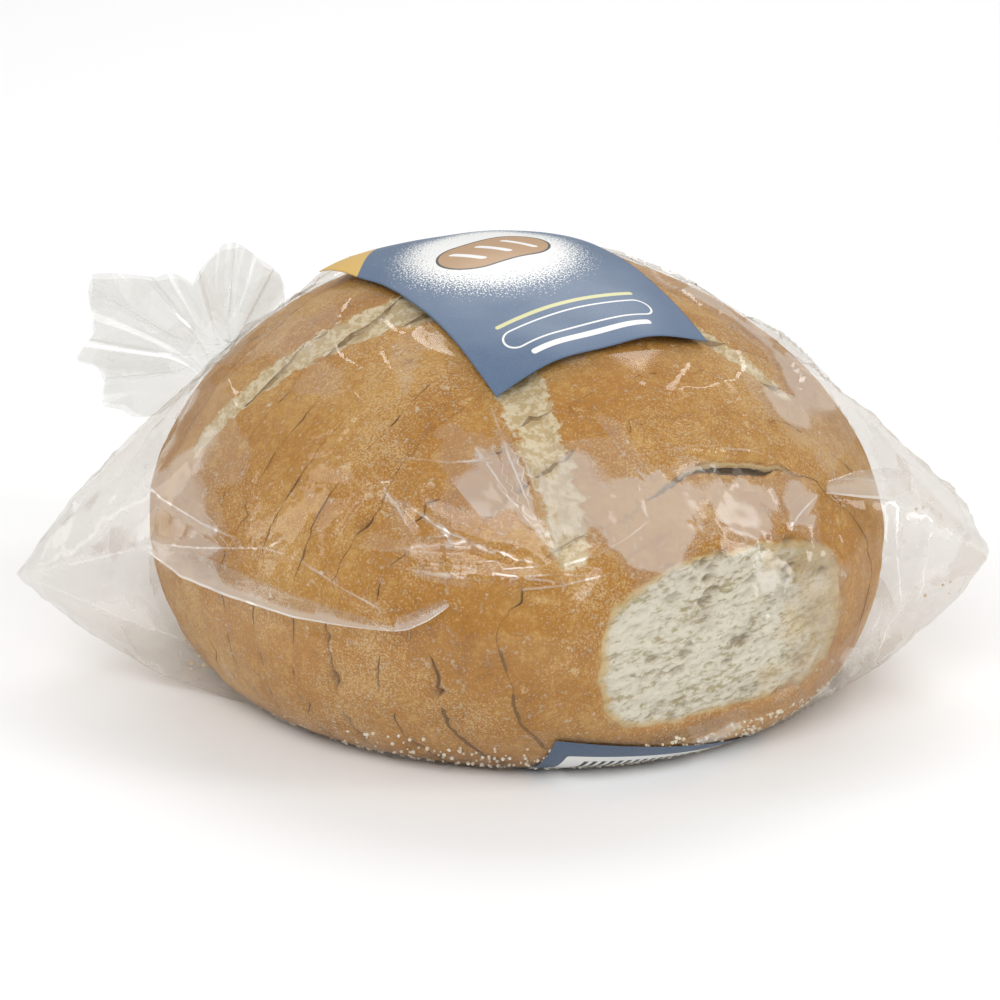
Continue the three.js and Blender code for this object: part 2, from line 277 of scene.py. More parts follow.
@dataclass(frozen=True)
class LoafForm:
    """The smooth outer form of the bread."""

    length: float = 189 * MM
    width: float = 172 * MM
    height: float = 101 * MM
    widest: float = 36.5 * MM
    base_share: float = 0.77
    power: float = 1.75
    turn: float = math.radians(31.4)
    lump_height: float = 0.9 * MM
    score_depth: float = 1.5 * MM
    scores: tuple[Score, ...] = (
        Score((-14, -23), (-72, -22), 17, 7),
        Score((-4, -40), (12, -84), 13, 8),
        Score((30, -20), (61, -27), 9, 5),
        Score((4, 22), (-20, 70), 12, 9),
    )

    @property
    def axes(self) -> np.ndarray:
        """Rows: along, across and up.

        Returns:
            Three unit rows.
        """
        along = (math.sin(self.turn), -math.cos(self.turn), 0.0)
        across = (math.cos(self.turn), math.sin(self.turn), 0.0)
        return np.array([along, across, (0.0, 0.0, 1.0)])

    def place(self, along: np.ndarray, across: np.ndarray, up: np.ndarray) -> np.ndarray:
        """Points given as distances along, across and up."""
        return np.stack(np.broadcast_arrays(along, across, up), axis=-1) @ self.axes

    def measure(self, points: np.ndarray) -> np.ndarray:
        """Rows of along, across and up for points."""
        return points @ self.axes.T

    def share(self, up: np.ndarray) -> np.ndarray:
        """The size in the plan at each height, as a share of the widest place.

        Args:
            up: Heights.

        Returns:
            A share for each height.
        """
        rise = np.clip((up - self.widest) / (self.height - self.widest), 0.0, 1.0)
        drop = np.clip(1.0 - up / self.widest, 0.0, 1.0)
        above = (1.0 - rise**self.power) ** (1.0 / self.power)
        below = 1.0 - (1.0 - self.base_share) * (1.0 - np.sqrt(1.0 - drop**2))
        return np.where(up >= self.widest, above, below)

    def inside(self, local: np.ndarray) -> np.ndarray:
        """Which rows of along, across and up lie in the loaf.

        Args:
            local: Rows of along, across and up.

        Returns:
            True for each row inside.
        """
        along, across, up = np.moveaxis(local, -1, 0)
        plan = np.hypot(along / (self.length / 2), across / (self.width / 2))
        return (up > 0.0) & (up < self.height) & (plan < self.share(up))

    def reach(self, start: np.ndarray, direction: np.ndarray) -> np.ndarray:
        """Distance from inner points to the surface, all given along, across and up.

        Args:
            start: Inner points.
            direction: Unit directions.

        Returns:
            A distance for each direction.
        """
        near = np.zeros(len(direction))
        far = np.full(len(direction), self.length)
        for _ in range(26):
            middle = (near + far) / 2
            within = self.inside(start + direction * middle[:, None])
            near = np.where(within, middle, near)
            far = np.where(within, far, middle)
        return (near + far) / 2

    def lump(self, points: np.ndarray) -> np.ndarray:
        """Slow unevenness of hand-shaped dough.

        Args:
            points: Rows of x, y, z.

        Returns:
            A height for each point.
        """
        x, y, z = points.T / MM
        fade = 1.0 - (z * MM / self.height) ** 2
        wave = np.sin(x / 17 + 1.3) * np.cos(y / 21) * np.sin(z / 15 + 0.6)
        return self.lump_height * fade * wave

    def score(self, points: np.ndarray) -> np.ndarray:
        """How deep in the scored cross each point is, 0 outside and 1 in the middle of a band.

        Args:
            points: Rows of x, y, z.

        Returns:
            A depth for each point.
        """
        flat = points[:, :2] / MM
        ragged = 1.0 + 0.3 * grain(points, 6 * MM, 3.0) + 0.35 * grain(points, 2.2 * MM, 9.0)
        deepest = np.zeros(len(points))
        for band in self.scores:
            start = np.array(band.start)
            run = np.array(band.end) - start
            share = np.clip((flat - start) @ run / (run @ run), 0.0, 1.0)
            away = np.linalg.norm(flat - start - share[:, None] * run, axis=1)
            half = (band.width + (band.end_width - band.width) * share) / 2
            deepest = np.maximum(deepest, np.clip(1.0 - (away / (half * ragged)) ** 2, 0.0, 1.0))
        return deepest * smoothstep(self.widest, self.widest + 20 * MM, points[:, 2])


@dataclass(frozen=True)
class Pull:
    """A place where the bag is drawn out to a point, and how wide the pull starts."""

    tip: tuple[float, float, float]
    turn: float
    rise: float


@dataclass(frozen=True)
class BagForm:
    """The smooth outer form of the bag: the loaf, with corners and a neck pulled out."""

    loaf: LoafForm
    clearance: float = 0.4 * MM
    left: Pull = Pull((-118 * MM, -15 * MM, 25 * MM), math.radians(31), math.radians(42))
    right: Pull = Pull((112 * MM, -25 * MM, 35 * MM), math.radians(31), math.radians(40))
    neck: Pull = Pull((-70 * MM, 84 * MM, 44 * MM), math.radians(34), math.radians(38))

    @property
    def centre(self) -> np.ndarray:
        """The middle of the bag, from which its surface is measured."""
        return np.array([0.0, 0.0, self.loaf.widest])

    @property
    def neck_direction(self) -> np.ndarray:
        """Outwards through the neck."""
        ray = np.array(self.neck.tip) - self.centre
        return ray / np.linalg.norm(ray)

    def pulled(self, pull: Pull, direction: np.ndarray) -> np.ndarray:
        """How strongly each direction is drawn to one tip: 1 at the tip, 0 outside.

        Args:
            pull: The tip.
            direction: Unit directions from the middle.

        Returns:
            A strength for each direction.
        """
        tip = np.array(pull.tip) - self.centre
        turn = np.arctan2(direction[:, 1], direction[:, 0]) - math.atan2(tip[1], tip[0])
        turn = np.arctan2(np.sin(turn), np.cos(turn))
        rise = np.arctan2(direction[:, 2], np.hypot(direction[:, 0], direction[:, 1]))
        rise = rise - math.atan2(tip[2], math.hypot(tip[0], tip[1]))
        return np.clip(1.0 - np.hypot(turn / pull.turn, rise / pull.rise), 0.0, 1.0)

    def reach(self, direction: np.ndarray) -> np.ndarray:
        """Distance from the middle to the film in each direction.

        Args:
            direction: Unit directions from the middle.

        Returns:
            A distance for each direction.
        """
        start = np.broadcast_to(self.loaf.measure(self.centre), direction.shape)
        plain = self.loaf.reach(start, self.loaf.measure(direction)) + self.clearance
        factor = np.ones(len(direction))
        for pull in (self.left, self.right, self.neck):
            tip = np.array(pull.tip) - self.centre
            far = np.linalg.norm(tip)
            bread = self.loaf.reach(start[:1], self.loaf.measure(tip[None] / far))[0]
            angle = math.acos((bread + self.clearance) / far)
            factor = np.maximum(factor, 1.0 / np.cos(angle * self.pulled(pull, direction)))
        return plain * factor

    def surface(self, direction: np.ndarray) -> np.ndarray:
        """Points of the film in each direction from the middle."""
        return self.centre + direction * self.reach(direction)[:, None]


@dataclass(frozen=True)
class PhotoView:
    """The photograph's camera, and what lies under its pixels."""

    elevation: float = math.radians(19.3)
    distance: float = 1.03
    centre: tuple[float, float, float] = (-3.4 * MM, 0.0, 38.9 * MM)
    focal_pixels: float = 4271.0
    sensor: float = 36.0
    search: float = 0.16
    coarse_steps: int = 81
    fine_steps: int = 41

    @property
    def place(self) -> np.ndarray:
        """Where the camera stands."""
        back = np.array([0.0, -math.cos(self.elevation), math.sin(self.elevation)])
        return np.array(self.centre) + back * self.distance

    def ray(self, x: float, y: float) -> np.ndarray:
        """Direction into the scene through a pixel.

        Args:
            x: Pixels from the left.
            y: Pixels from the top.

        Returns:
            A unit direction.
        """
        ahead = np.array([0.0, math.cos(self.elevation), -math.sin(self.elevation)])
        up = np.array([0.0, math.sin(self.elevation), math.cos(self.elevation)])
        right = np.array([1.0, 0.0, 0.0])
        half = PHOTO_WIDTH / 2
        ray = ahead * self.focal_pixels + right * (x - half) - up * (y - half)
        return ray / np.linalg.norm(ray)

    def on_bag(self, bag: BagForm, pixels: list[tuple[float, float]]) -> np.ndarray:
        """The places on the bag that are seen at the pixels, or the nearest ones to their rays.

        Args:
            bag: The bag's form.
            pixels: Pixels as x, y.

        Returns:
            Rows of x, y, z.
        """
        rays = np.array([self.ray(x, y) for x, y in pixels])
        steps = np.linspace(-self.search, self.search, self.coarse_steps)
        coarse = np.broadcast_to(steps, (len(rays), self.coarse_steps))
        first = self.first_inside(bag, rays, self.distance + coarse)
        step = coarse[0, 1] - coarse[0, 0]
        fine = first[:, None] + np.linspace(-step, step, self.fine_steps)
        return self.place + self.first_inside(bag, rays, fine)[:, None] * rays

    def first_inside(self, bag: BagForm, rays: np.ndarray, steps: np.ndarray) -> np.ndarray:
        """The first step along each ray that lies in the bag, or the one that comes nearest.

        Args:
            bag: The bag's form.
            rays: Unit directions.
            steps: Rising distances, a row for each ray.

        Returns:
            A distance for each ray.
        """
        points = self.place + steps[..., None] * rays[:, None, :]
        away = (points - bag.centre).reshape(-1, 3)
        far = np.linalg.norm(away, axis=1)
        gap = (far - bag.reach(away / far[:, None])).reshape(steps.shape)
        index = np.where((gap < 0).any(axis=1), (gap < 0).argmax(axis=1), gap.argmin(axis=1))
        return steps[np.arange(len(steps)), index]

    def build(self) -> None:
        """Make the camera."""
        data = bpy.data.cameras.new("photo_view")
        data.sensor_width = self.sensor
        data.lens = self.focal_pixels / PHOTO_WIDTH * self.sensor
        data.clip_end = 20.0
        camera = bpy.data.objects.new("photo_view", data)
        bpy.context.scene.collection.objects.link(camera)
        camera.location = self.place
        camera.rotation_euler = (math.pi / 2 - self.elevation, 0.0, 0.0)
        bpy.context.scene.camera = camera


# Finishes


class Nodes:
    """Short ways to write a material's nodes."""

    def __init__(self, name: str) -> None:
        """Start an empty material of this name.

        Args:
            name: The material's name.
        """
        self.material = bpy.data.materials.new(name)
        self.material.use_nodes = True
        self.tree = self.material.node_tree
        self.tree.nodes.clear()
        self.output = self.tree.nodes.new("ShaderNodeOutputMaterial")

    def add(self, kind: str, inputs: dict | None = None, **settings: object) -> bpy.types.Node:
        """Add a node; inputs are numbers, colours or sockets by name or index.

        Args:
            kind: The node type, without its usual prefix.
            inputs: Numbers, colours or sockets by name or index.
            settings: The node's own settings.

        Returns:
            The node.
        """
        node = self.tree.nodes.new("ShaderNode" + kind)
        for key, value in settings.items():
            setattr(node, key, value)
        for key, value in (inputs or {}).items():
            if isinstance(value, bpy.types.NodeSocket):
                self.tree.links.new(value, node.inputs[key])
            else:
                node.inputs[key].default_value = value
        return node

    def value(self, name: str) -> bpy.types.NodeSocket:
        """A number stored on the mesh."""
        return self.add("Attribute", attribute_name=name).outputs["Fac"]

    def value_vector(self, name: str) -> bpy.types.NodeSocket:
        """A place stored on the mesh."""
        return self.add("Attribute", attribute_name=name).outputs["Vector"]

    def place(self) -> bpy.types.NodeSocket:
        """Object coordinates."""
        return self.add("TexCoord").outputs["Object"]

    def speckle(self, scale: float, detail: float = 3.0, at: object = None,
                rough: float = 0.55) -> object:
        """Noise from about 0.2 to 0.8."""
        inputs = {"Scale": scale, "Detail": detail, "Roughness": rough, "Vector": at or self.place()}
        return self.add("TexNoise", inputs).outputs[0]

    def math(self, what: str, first: object, second: object = 0.0, third: object = 0.0) -> object:
        """One calculation."""
        inputs = {0: first, 1: second, 2: third}
        return self.add("Math", inputs, operation=what).outputs[0]

    def rise(self, value: object, low: float, high: float, top: float = 1.0,
             bottom: float = 0.0) -> object:
        """Map low..high smoothly to bottom..top."""
        inputs = {"Value": value, "From Min": low, "From Max": high, "To Min": bottom, "To Max": top}
        return self.add("MapRange", inputs, interpolation_type="SMOOTHSTEP").outputs[0]

    def mix(self, share: object, first: object, second: object, blend: str = "MIX") -> object:
        """Mix two colours.

        Args:
            share: How much of the second.
            first: A colour or socket.
            second: A colour or socket.
            blend: How they blend.

        Returns:
            The mixed colour.
        """
        node = self.add("Mix", data_type="RGBA", blend_type=blend)
        for key, value in ((0, share), (6, first), (7, second)):
            if isinstance(value, bpy.types.NodeSocket):
                self.tree.links.new(value, node.inputs[key])
            else:
                node.inputs[key].default_value = (*value, 1.0) if key else value
        return node.outputs[2]

    def bump(self, height: object, distance: float, strength: float = 1.0,
             after: object = None) -> object:
        """A bump of this height in metres.

        Args:
            height: A socket from 0 to 1.
            distance: The height at 1.
            strength: From 0 to 1.
            after: Another bump to add to.

        Returns:
            The normal.
        """
        inputs = {"Height": height, "Distance": distance, "Strength": strength}
        if after is not None:
            inputs["Normal"] = after
        return self.add("Bump", inputs).outputs[0]

    def done(self, shader: bpy.types.NodeSocket) -> bpy.types.Material:
        """Finish the material with this shader."""
        self.tree.links.new(shader, self.output.inputs["Surface"])
        return self.material


Colour = tuple[float, float, float]


@dataclass(frozen=True)
class BreadFinish:
    """Flour-dusted brown crust, cream score bands and open pale crumb."""

    pale: Colour = (0.55, 0.305, 0.08)
    golden: Colour = (0.44, 0.199, 0.03)
    brown: Colour = (0.265, 0.096, 0.011)
    flour: Colour = (0.66, 0.475, 0.255)
    cream: Colour = (0.56, 0.43, 0.235)
    chalk: Colour = (0.76, 0.66, 0.46)
    # under: the crust's colour in painted shade near the base of the loaf.
    under: Colour = (0.3, 0.15, 0.045)
    crumb_light: Colour = (0.72, 0.68, 0.565)
    # crumb_dark is the crumb in painted shade, for its pores, and its darker tone where the drift noise
    # is low.
    crumb_dark: Colour = (0.42, 0.36, 0.22)
    crumb_rim: Colour = (0.58, 0.4, 0.15)
    # hole is the colour of painted shade in cracks, chipped places, pores and hollows.
    hole: Colour = (0.13, 0.062, 0.02)
    grit_scale: float = 420.0
    speck_scale: float = 2100.0
    grit_height: float = 0.55 * MM
    strand_stretch: tuple[float, float, float] = (0.42, 1.0, 0.6)

    def make(self) -> bpy.types.Material:
        """Build the material; it reads the toast, dust, crumb, score, pit and under values; pit and
        under are painted shade.

        Returns:
            The material.
        """
        n = Nodes("bread")
        toast, dust, crumb = n.value("toast"), n.value("dust"), n.value("crumb")
        score, painted_shade, under = n.value("score"), n.value("painted_shade"), n.value("under")
        grit = n.speckle(self.grit_scale, 2, rough=0.8)
        browned = n.math("MULTIPLY_ADD", n.math("SUBTRACT", grit, 0.5), 1.5, toast)
        colour = n.mix(n.rise(browned, 0.0, 0.5), self.pale, self.golden)
        colour = n.mix(n.rise(browned, 0.5, 1.0), colour, self.brown)
        speck = n.speckle(self.speck_scale, 1, rough=0.6)
        floured = n.math("MULTIPLY_ADD", dust, 0.3, speck)
        colour = n.mix(n.rise(floured, 0.62, 0.84, 0.7), colour, self.flour)
        freckle = n.rise(speck, 0.36, 0.24, 0.4)
        colour = n.mix(freckle, colour, self.brown)
        banded = n.math("MULTIPLY_ADD", n.math("SUBTRACT", grit, 0.5), 0.7, score)
        chalky = n.mix(n.rise(grit, 0.43, 0.6), self.cream, self.chalk)
        colour = n.mix(n.rise(banded, 0.04, 0.26, 0.92), colour, chalky)
        # Painted shade: the crust darkens to the under colour near the base.
        colour = n.mix(under, colour, self.under)
        place = n.value_vector("crumb_place")
        strands = n.add("Mapping", {"Vector": place, "Scale": self.strand_stretch}).outputs[0]
        # Painted shade in the pores: low pore values take the crumb_dark colour; the drift noise adds
        # darker tone at random.
        pores = n.speckle(1.0, 2, strands, 0.7)
        drift = n.speckle(0.2, 2, strands, 0.6)
        pores = n.math("MULTIPLY_ADD", n.math("SUBTRACT", drift, 0.5), 0.5, pores)
        inner = n.mix(n.rise(pores, 0.3, 0.55), self.crumb_dark, self.crumb_light)
        inner = n.mix(n.rise(crumb, 0.95, 0.6, 0.75), inner, self.crumb_rim)
        colour = n.mix(n.rise(crumb, 0.3, 0.55), colour, inner)
        # Painted shade: the pit value darkens cracks, chipped places, pores and hollows towards the
        # hole colour.
        colour = n.mix(n.math("MULTIPLY", painted_shade, 0.85), colour, self.hole)
        shader = n.add("BsdfPrincipled", {
            "Base Color": colour,
            "Roughness": n.rise(crumb, 0.2, 0.6, 0.85, 0.6),
            "Normal": n.bump(grit, self.grit_height),
            "Specular IOR Level": 0.15,
        })
        return n.done(shader.outputs[0])


@dataclass(frozen=True)
class FilmFinish:
    """Thin clear film: see-through with a gloss, and milky where it stands off the bread, that
    milkiness partly haze and partly a painted reflection of the surround.
    """

    name: str
    haze_and_reflection_colour: Colour = (0.83, 0.79, 0.735)
    tint: Colour = (0.93, 0.925, 0.91)
    least: float = 0.01
    middle: float = 0.085
    most: float = 0.32
    gloss: float = 0.06
    facet_scale: float = 80.0
    facet_share: float = 0.26
    middle_step: tuple[float, float] = (0.36, 0.4)
    most_step: tuple[float, float] = (0.57, 0.67)
    crease_painted_line: float = 0.32
    fold_gloss: float = 0.12

    def make(self) -> bpy.types.Material:
        """Build the material; it reads the lift, crease_away and crease_near values of the mesh.

        Returns:
            The material.
        """
        n = Nodes(self.name)
        slanted = n.add("Mapping", {"Vector": n.place(), "Rotation": (1.0, 0.45, 0.5)}).outputs[0]
        stretched = n.add("Mapping", {"Vector": slanted, "Scale": (1.0, 0.4, 1.0)}).outputs[0]
        facets = n.add("TexVoronoi", {"Vector": stretched, "Scale": self.facet_scale},
                       voronoi_dimensions="2D")
        patch = n.add("SeparateColor", {0: facets.outputs["Color"]}).outputs[0]
        patch = n.math("SUBTRACT", patch, 0.5)
        cloud = n.math("MULTIPLY_ADD", patch, self.facet_share, n.value("lift"))
        veil = n.rise(cloud, *self.middle_step, self.middle, self.least)
        veil = n.math("ADD", veil, n.rise(cloud, *self.most_step, self.most - self.middle))
        clear = n.add("BsdfTransparent", {"Color": (*self.tint, 1.0)}).outputs[0]
        # Painted reflection: the milky diffuse layer stands partly for the film's haze and partly for
        # the surround reflected where the film is lifted.
        haze_and_reflection = n.add("BsdfDiffuse", {"Color": (*self.haze_and_reflection_colour, 1.0)}).outputs[0]
        # Painted line along each crease: on the clear film it is a painted highlight; with the tail's
        # grey colour it is painted shade.
        sharp = n.rise(n.math("ABSOLUTE", n.value("crease_away")), 0.34, 0.14)
        fold = n.math("MULTIPLY", sharp, n.value("crease_near"))
        veil = n.math("MULTIPLY_ADD", fold, self.crease_painted_line, veil)
        body = n.add("MixShader", {0: veil, 1: clear, 2: haze_and_reflection}).outputs[0]
        shine = n.add("BsdfGlossy", {"Color": (1, 1, 1, 1), "Roughness": 0.1})
        facing = n.add("LayerWeight", {"Blend": 0.35}).outputs["Facing"]
        mirror = n.rise(facing, 0.05, 0.95, self.gloss * 3.0, self.gloss * 0.5)
        mirror = n.math("MULTIPLY_ADD", fold, self.fold_gloss, mirror)
        return n.done(n.add("MixShader", {0: mirror, 1: body, 2: shine.outputs[0]}).outputs[0])


@dataclass(frozen=True)
class PaperFinish:
    """Plain printed paper: a steel blue field with simple generic shapes, on the flat UV map."""

    name: str
    blue: Colour = (0.082, 0.135, 0.225)
    white: Colour = (0.8, 0.8, 0.78)
    yellow: Colour = (0.66, 0.42, 0.1)
    pale_yellow: Colour = (0.62, 0.6, 0.3)
    tan: Colour = (0.42, 0.25, 0.12)
    ink: Colour = (0.03, 0.028, 0.025)
    fibre_scale: float = 2600.0
    wave_scale: float = 60.0

    def flat(self, n: Nodes) -> tuple[object, object]:
        """The label's own two directions in millimetres."""
        spread = n.add("SeparateXYZ", {0: n.add("UVMap", uv_map="flat").outputs[0]})
        return spread.outputs[0], spread.outputs[1]

    def box(self, n: Nodes, at: tuple[object, object], middle: tuple[float, float],
            half: tuple[float, float], corner: float) -> object:
        """Distance outside a round-cornered box, below 0 inside.

        Args:
            n: The material's nodes.
            at: The label's two directions.
            middle: The box's middle.
            half: Its half sizes.
            corner: Its corner radius.

        Returns:
            The distance in millimetres.
        """
        parts = []
        for axis, centre, size in zip(at, middle, half):
            away = n.math("ABSOLUTE", n.math("SUBTRACT", axis, centre))
            parts.append(n.math("SUBTRACT", away, size - corner))
        outer = [n.math("MAXIMUM", part, 0.0) for part in parts]
        squares = [n.math("MULTIPLY", part, part) for part in outer]
        square = n.math("ADD", *squares)
        inner = n.math("MINIMUM", n.math("MAXIMUM", parts[0], parts[1]), 0.0)
        return n.math("SUBTRACT", n.math("ADD", n.math("SQRT", square), inner), corner)

    def inside(self, n: Nodes, distance: object, edge: float = 0.05) -> object:
        """1 inside a shape and 0 outside."""
        return n.rise(distance, edge, -edge)

    def line(self, n: Nodes, distance: object, width: float) -> object:
        """1 on a shape's outline and 0 elsewhere."""
        return self.inside(n, n.math("SUBTRACT", n.math("ABSOLUTE", distance), width / 2))

    def surface(self, n: Nodes, colour: object) -> bpy.types.Material:
        """Slightly glossy paper of this colour.

        Args:
            n: The material's nodes.
            colour: The printed colour.

        Returns:
            The material.
        """
        fibre = n.speckle(self.fibre_scale, 2.0, rough=0.5)
        waves = n.speckle(self.wave_scale, 2.0, rough=0.5)
        normal = n.bump(waves, 1.2 * MM, 0.35, n.bump(fibre, 0.03 * MM, 0.5))
        colour = n.mix(n.rise(fibre, 0.4, 0.7, 0.05), colour, (0.5, 0.5, 0.5))
        shader = n.add("BsdfPrincipled", {"Base Color": colour, "Roughness": 0.42, "Normal": normal})
        return n.done(shader.outputs[0])


@dataclass(frozen=True)
class TopPrint(PaperFinish):
    """Top label: speckled white oval with a plain loaf shape, a yellow corner and a pill outline."""

    length: float = 87.5
    width: float = 57.0
    oval_at: float = 49.0
    oval_half: tuple[float, float] = (21.0, 23.5)
    yellow_at: float = 23.0
    yellow_slope: float = 1.15
    pill_at: float = 10.8
    pill_half: tuple[float, float] = (19.5, 3.0)
    rule_at: float = 16.6
    rule_half: tuple[float, float] = (18.5, 0.6)
    bar_at: float = 4.8
    bar_half: tuple[float, float] = (16.0, 0.8)

    def make(self) -> bpy.types.Material:
        """Build the material. The UV map runs from the front corner: across, then back.

        Returns:
            The material.
        """
        n = Nodes(self.name)
        at = self.flat(n)
        across = self.width / 2
        middle = (across, self.oval_at)
        shares = [n.math("DIVIDE", n.math("SUBTRACT", axis, centre), size)
                  for axis, centre, size in zip(at, middle, self.oval_half)]
        oval = n.math("SQRT", n.math("ADD", *(n.math("POWER", share, 2.0) for share in shares)))
        dots = n.speckle(2.3, 1.0, n.add("UVMap", uv_map="flat").outputs[0], 0.5)
        speckled = n.math("MULTIPLY_ADD", n.math("SUBTRACT", dots, 0.5), 1.3, oval)
        colour = n.mix(self.inside(n, n.math("SUBTRACT", speckled, 0.92), 0.03), self.blue, self.white)
        colour = self.add_loaf(n, at, colour, middle)
        pill = self.box(n, at, (across, self.pill_at), self.pill_half, 2.95)
        colour = n.mix(self.line(n, pill, 0.5), colour, self.white)
        rule = self.box(n, at, (across, self.rule_at), self.rule_half, 0.55)
        colour = n.mix(self.inside(n, rule), colour, self.pale_yellow)
        low = self.box(n, at, (across, self.bar_at), self.bar_half, 0.7)
        colour = n.mix(self.inside(n, low), colour, self.white)
        edge = n.math("MULTIPLY_ADD", at[0], self.yellow_slope, self.length - self.yellow_at)
        corner = self.inside(n, n.math("SUBTRACT", edge, at[1]), 0.08)
        colour = n.mix(corner, colour, self.yellow)
        return self.surface(n, colour)

    def add_loaf(self, n: Nodes, at: tuple[object, object], colour: object,
                 middle: tuple[float, float]) -> object:
        """A plain tan loaf shape with three slanting cuts.

        Args:
            n: The material's nodes.
            at: The label's two directions.
            colour: What lies under it.
            middle: The oval's middle.

        Returns:
            The colour with the loaf on it.
        """
        body = self.box(n, at, (middle[0], middle[1] - 1.0), (14.0, 8.5), 8.4)
        colour = n.mix(self.inside(n, body), colour, self.tan)
        colour = n.mix(self.line(n, body, 0.6), colour, self.ink)
        slant = n.math("MULTIPLY_ADD", at[1], 0.45, n.math("SUBTRACT", at[0], 0.45 * (middle[1] - 1.0)))
        for step in (-7.0, 0.0, 7.0):
            cut = self.box(n, (slant, at[1]), (middle[0] + step, middle[1] - 1.0), (0.9, 4.6), 0.85)
            colour = n.mix(self.inside(n, cut), colour, self.white)
        return colour


@dataclass(frozen=True)
class BasePrint(PaperFinish):
    """Base label: a white panel of plain bars in a blue border, its blue darkened as painted shade."""

    # The print blue, darkened as painted shade for its place low on the bag.
    blue: Colour = (0.062, 0.102, 0.17)
    width: float = 58.0
    panel_at: float = 30.0
    panel_half: tuple[float, float] = (25.0, 26.0)
    bars_at: tuple[float, float] = (22.0, 11.0)
    bars_half: tuple[float, float] = (14.0, 5.0)
    rows_at: float = 36.0
    rows_half: tuple[float, float] = (19.0, 15.0)

    def make(self) -> bpy.types.Material:
        """Build the material. The UV map runs across, then from the front edge back under.

        Returns:
            The material.
        """
        n = Nodes(self.name)
        at = self.flat(n)
        panel = self.box(n, at, (self.width / 2, self.panel_at), self.panel_half, 0.6)
        colour = n.mix(self.inside(n, panel), self.blue, self.white)
        field_of_bars = self.inside(n, self.box(n, at, self.bars_at, self.bars_half, 0.1))
        bars = n.rise(n.math("PINGPONG", at[0], 1.0), 0.48, 0.52)
        colour = n.mix(n.math("MULTIPLY", bars, field_of_bars), colour, self.ink)
        rows_at = (self.width / 2, self.rows_at)
        field_of_rows = self.inside(n, self.box(n, at, rows_at, self.rows_half, 0.1))
        rows = n.math("MULTIPLY", n.rise(n.math("PINGPONG", at[1], 1.6), 1.1, 1.2), field_of_rows)
        colour = n.mix(n.math("MULTIPLY", rows, 0.5), colour, self.ink)
        return self.surface(n, colour)


@dataclass(frozen=True)
class PlainFinish:
    """One colour with a fine grain."""

    name: str
    colour: Colour
    other: Colour
    roughness: float = 0.5
    scale: float = 900.0

    def make(self) -> bpy.types.Material:
        """Build the material.

        Returns:
            The material.
        """
        n = Nodes(self.name)
        spots = n.speckle(self.scale, 3)
        shader = n.add("BsdfPrincipled", {
            "Base Color": n.mix(n.rise(spots, 0.4, 0.6), self.colour, self.other),
            "Roughness": self.roughness,
            "Normal": n.bump(spots, 0.1 * MM, 0.6),
        })
        return n.done(shader.outputs[0])


# The bread


Span = tuple[tuple[float, float], tuple[float, float]]


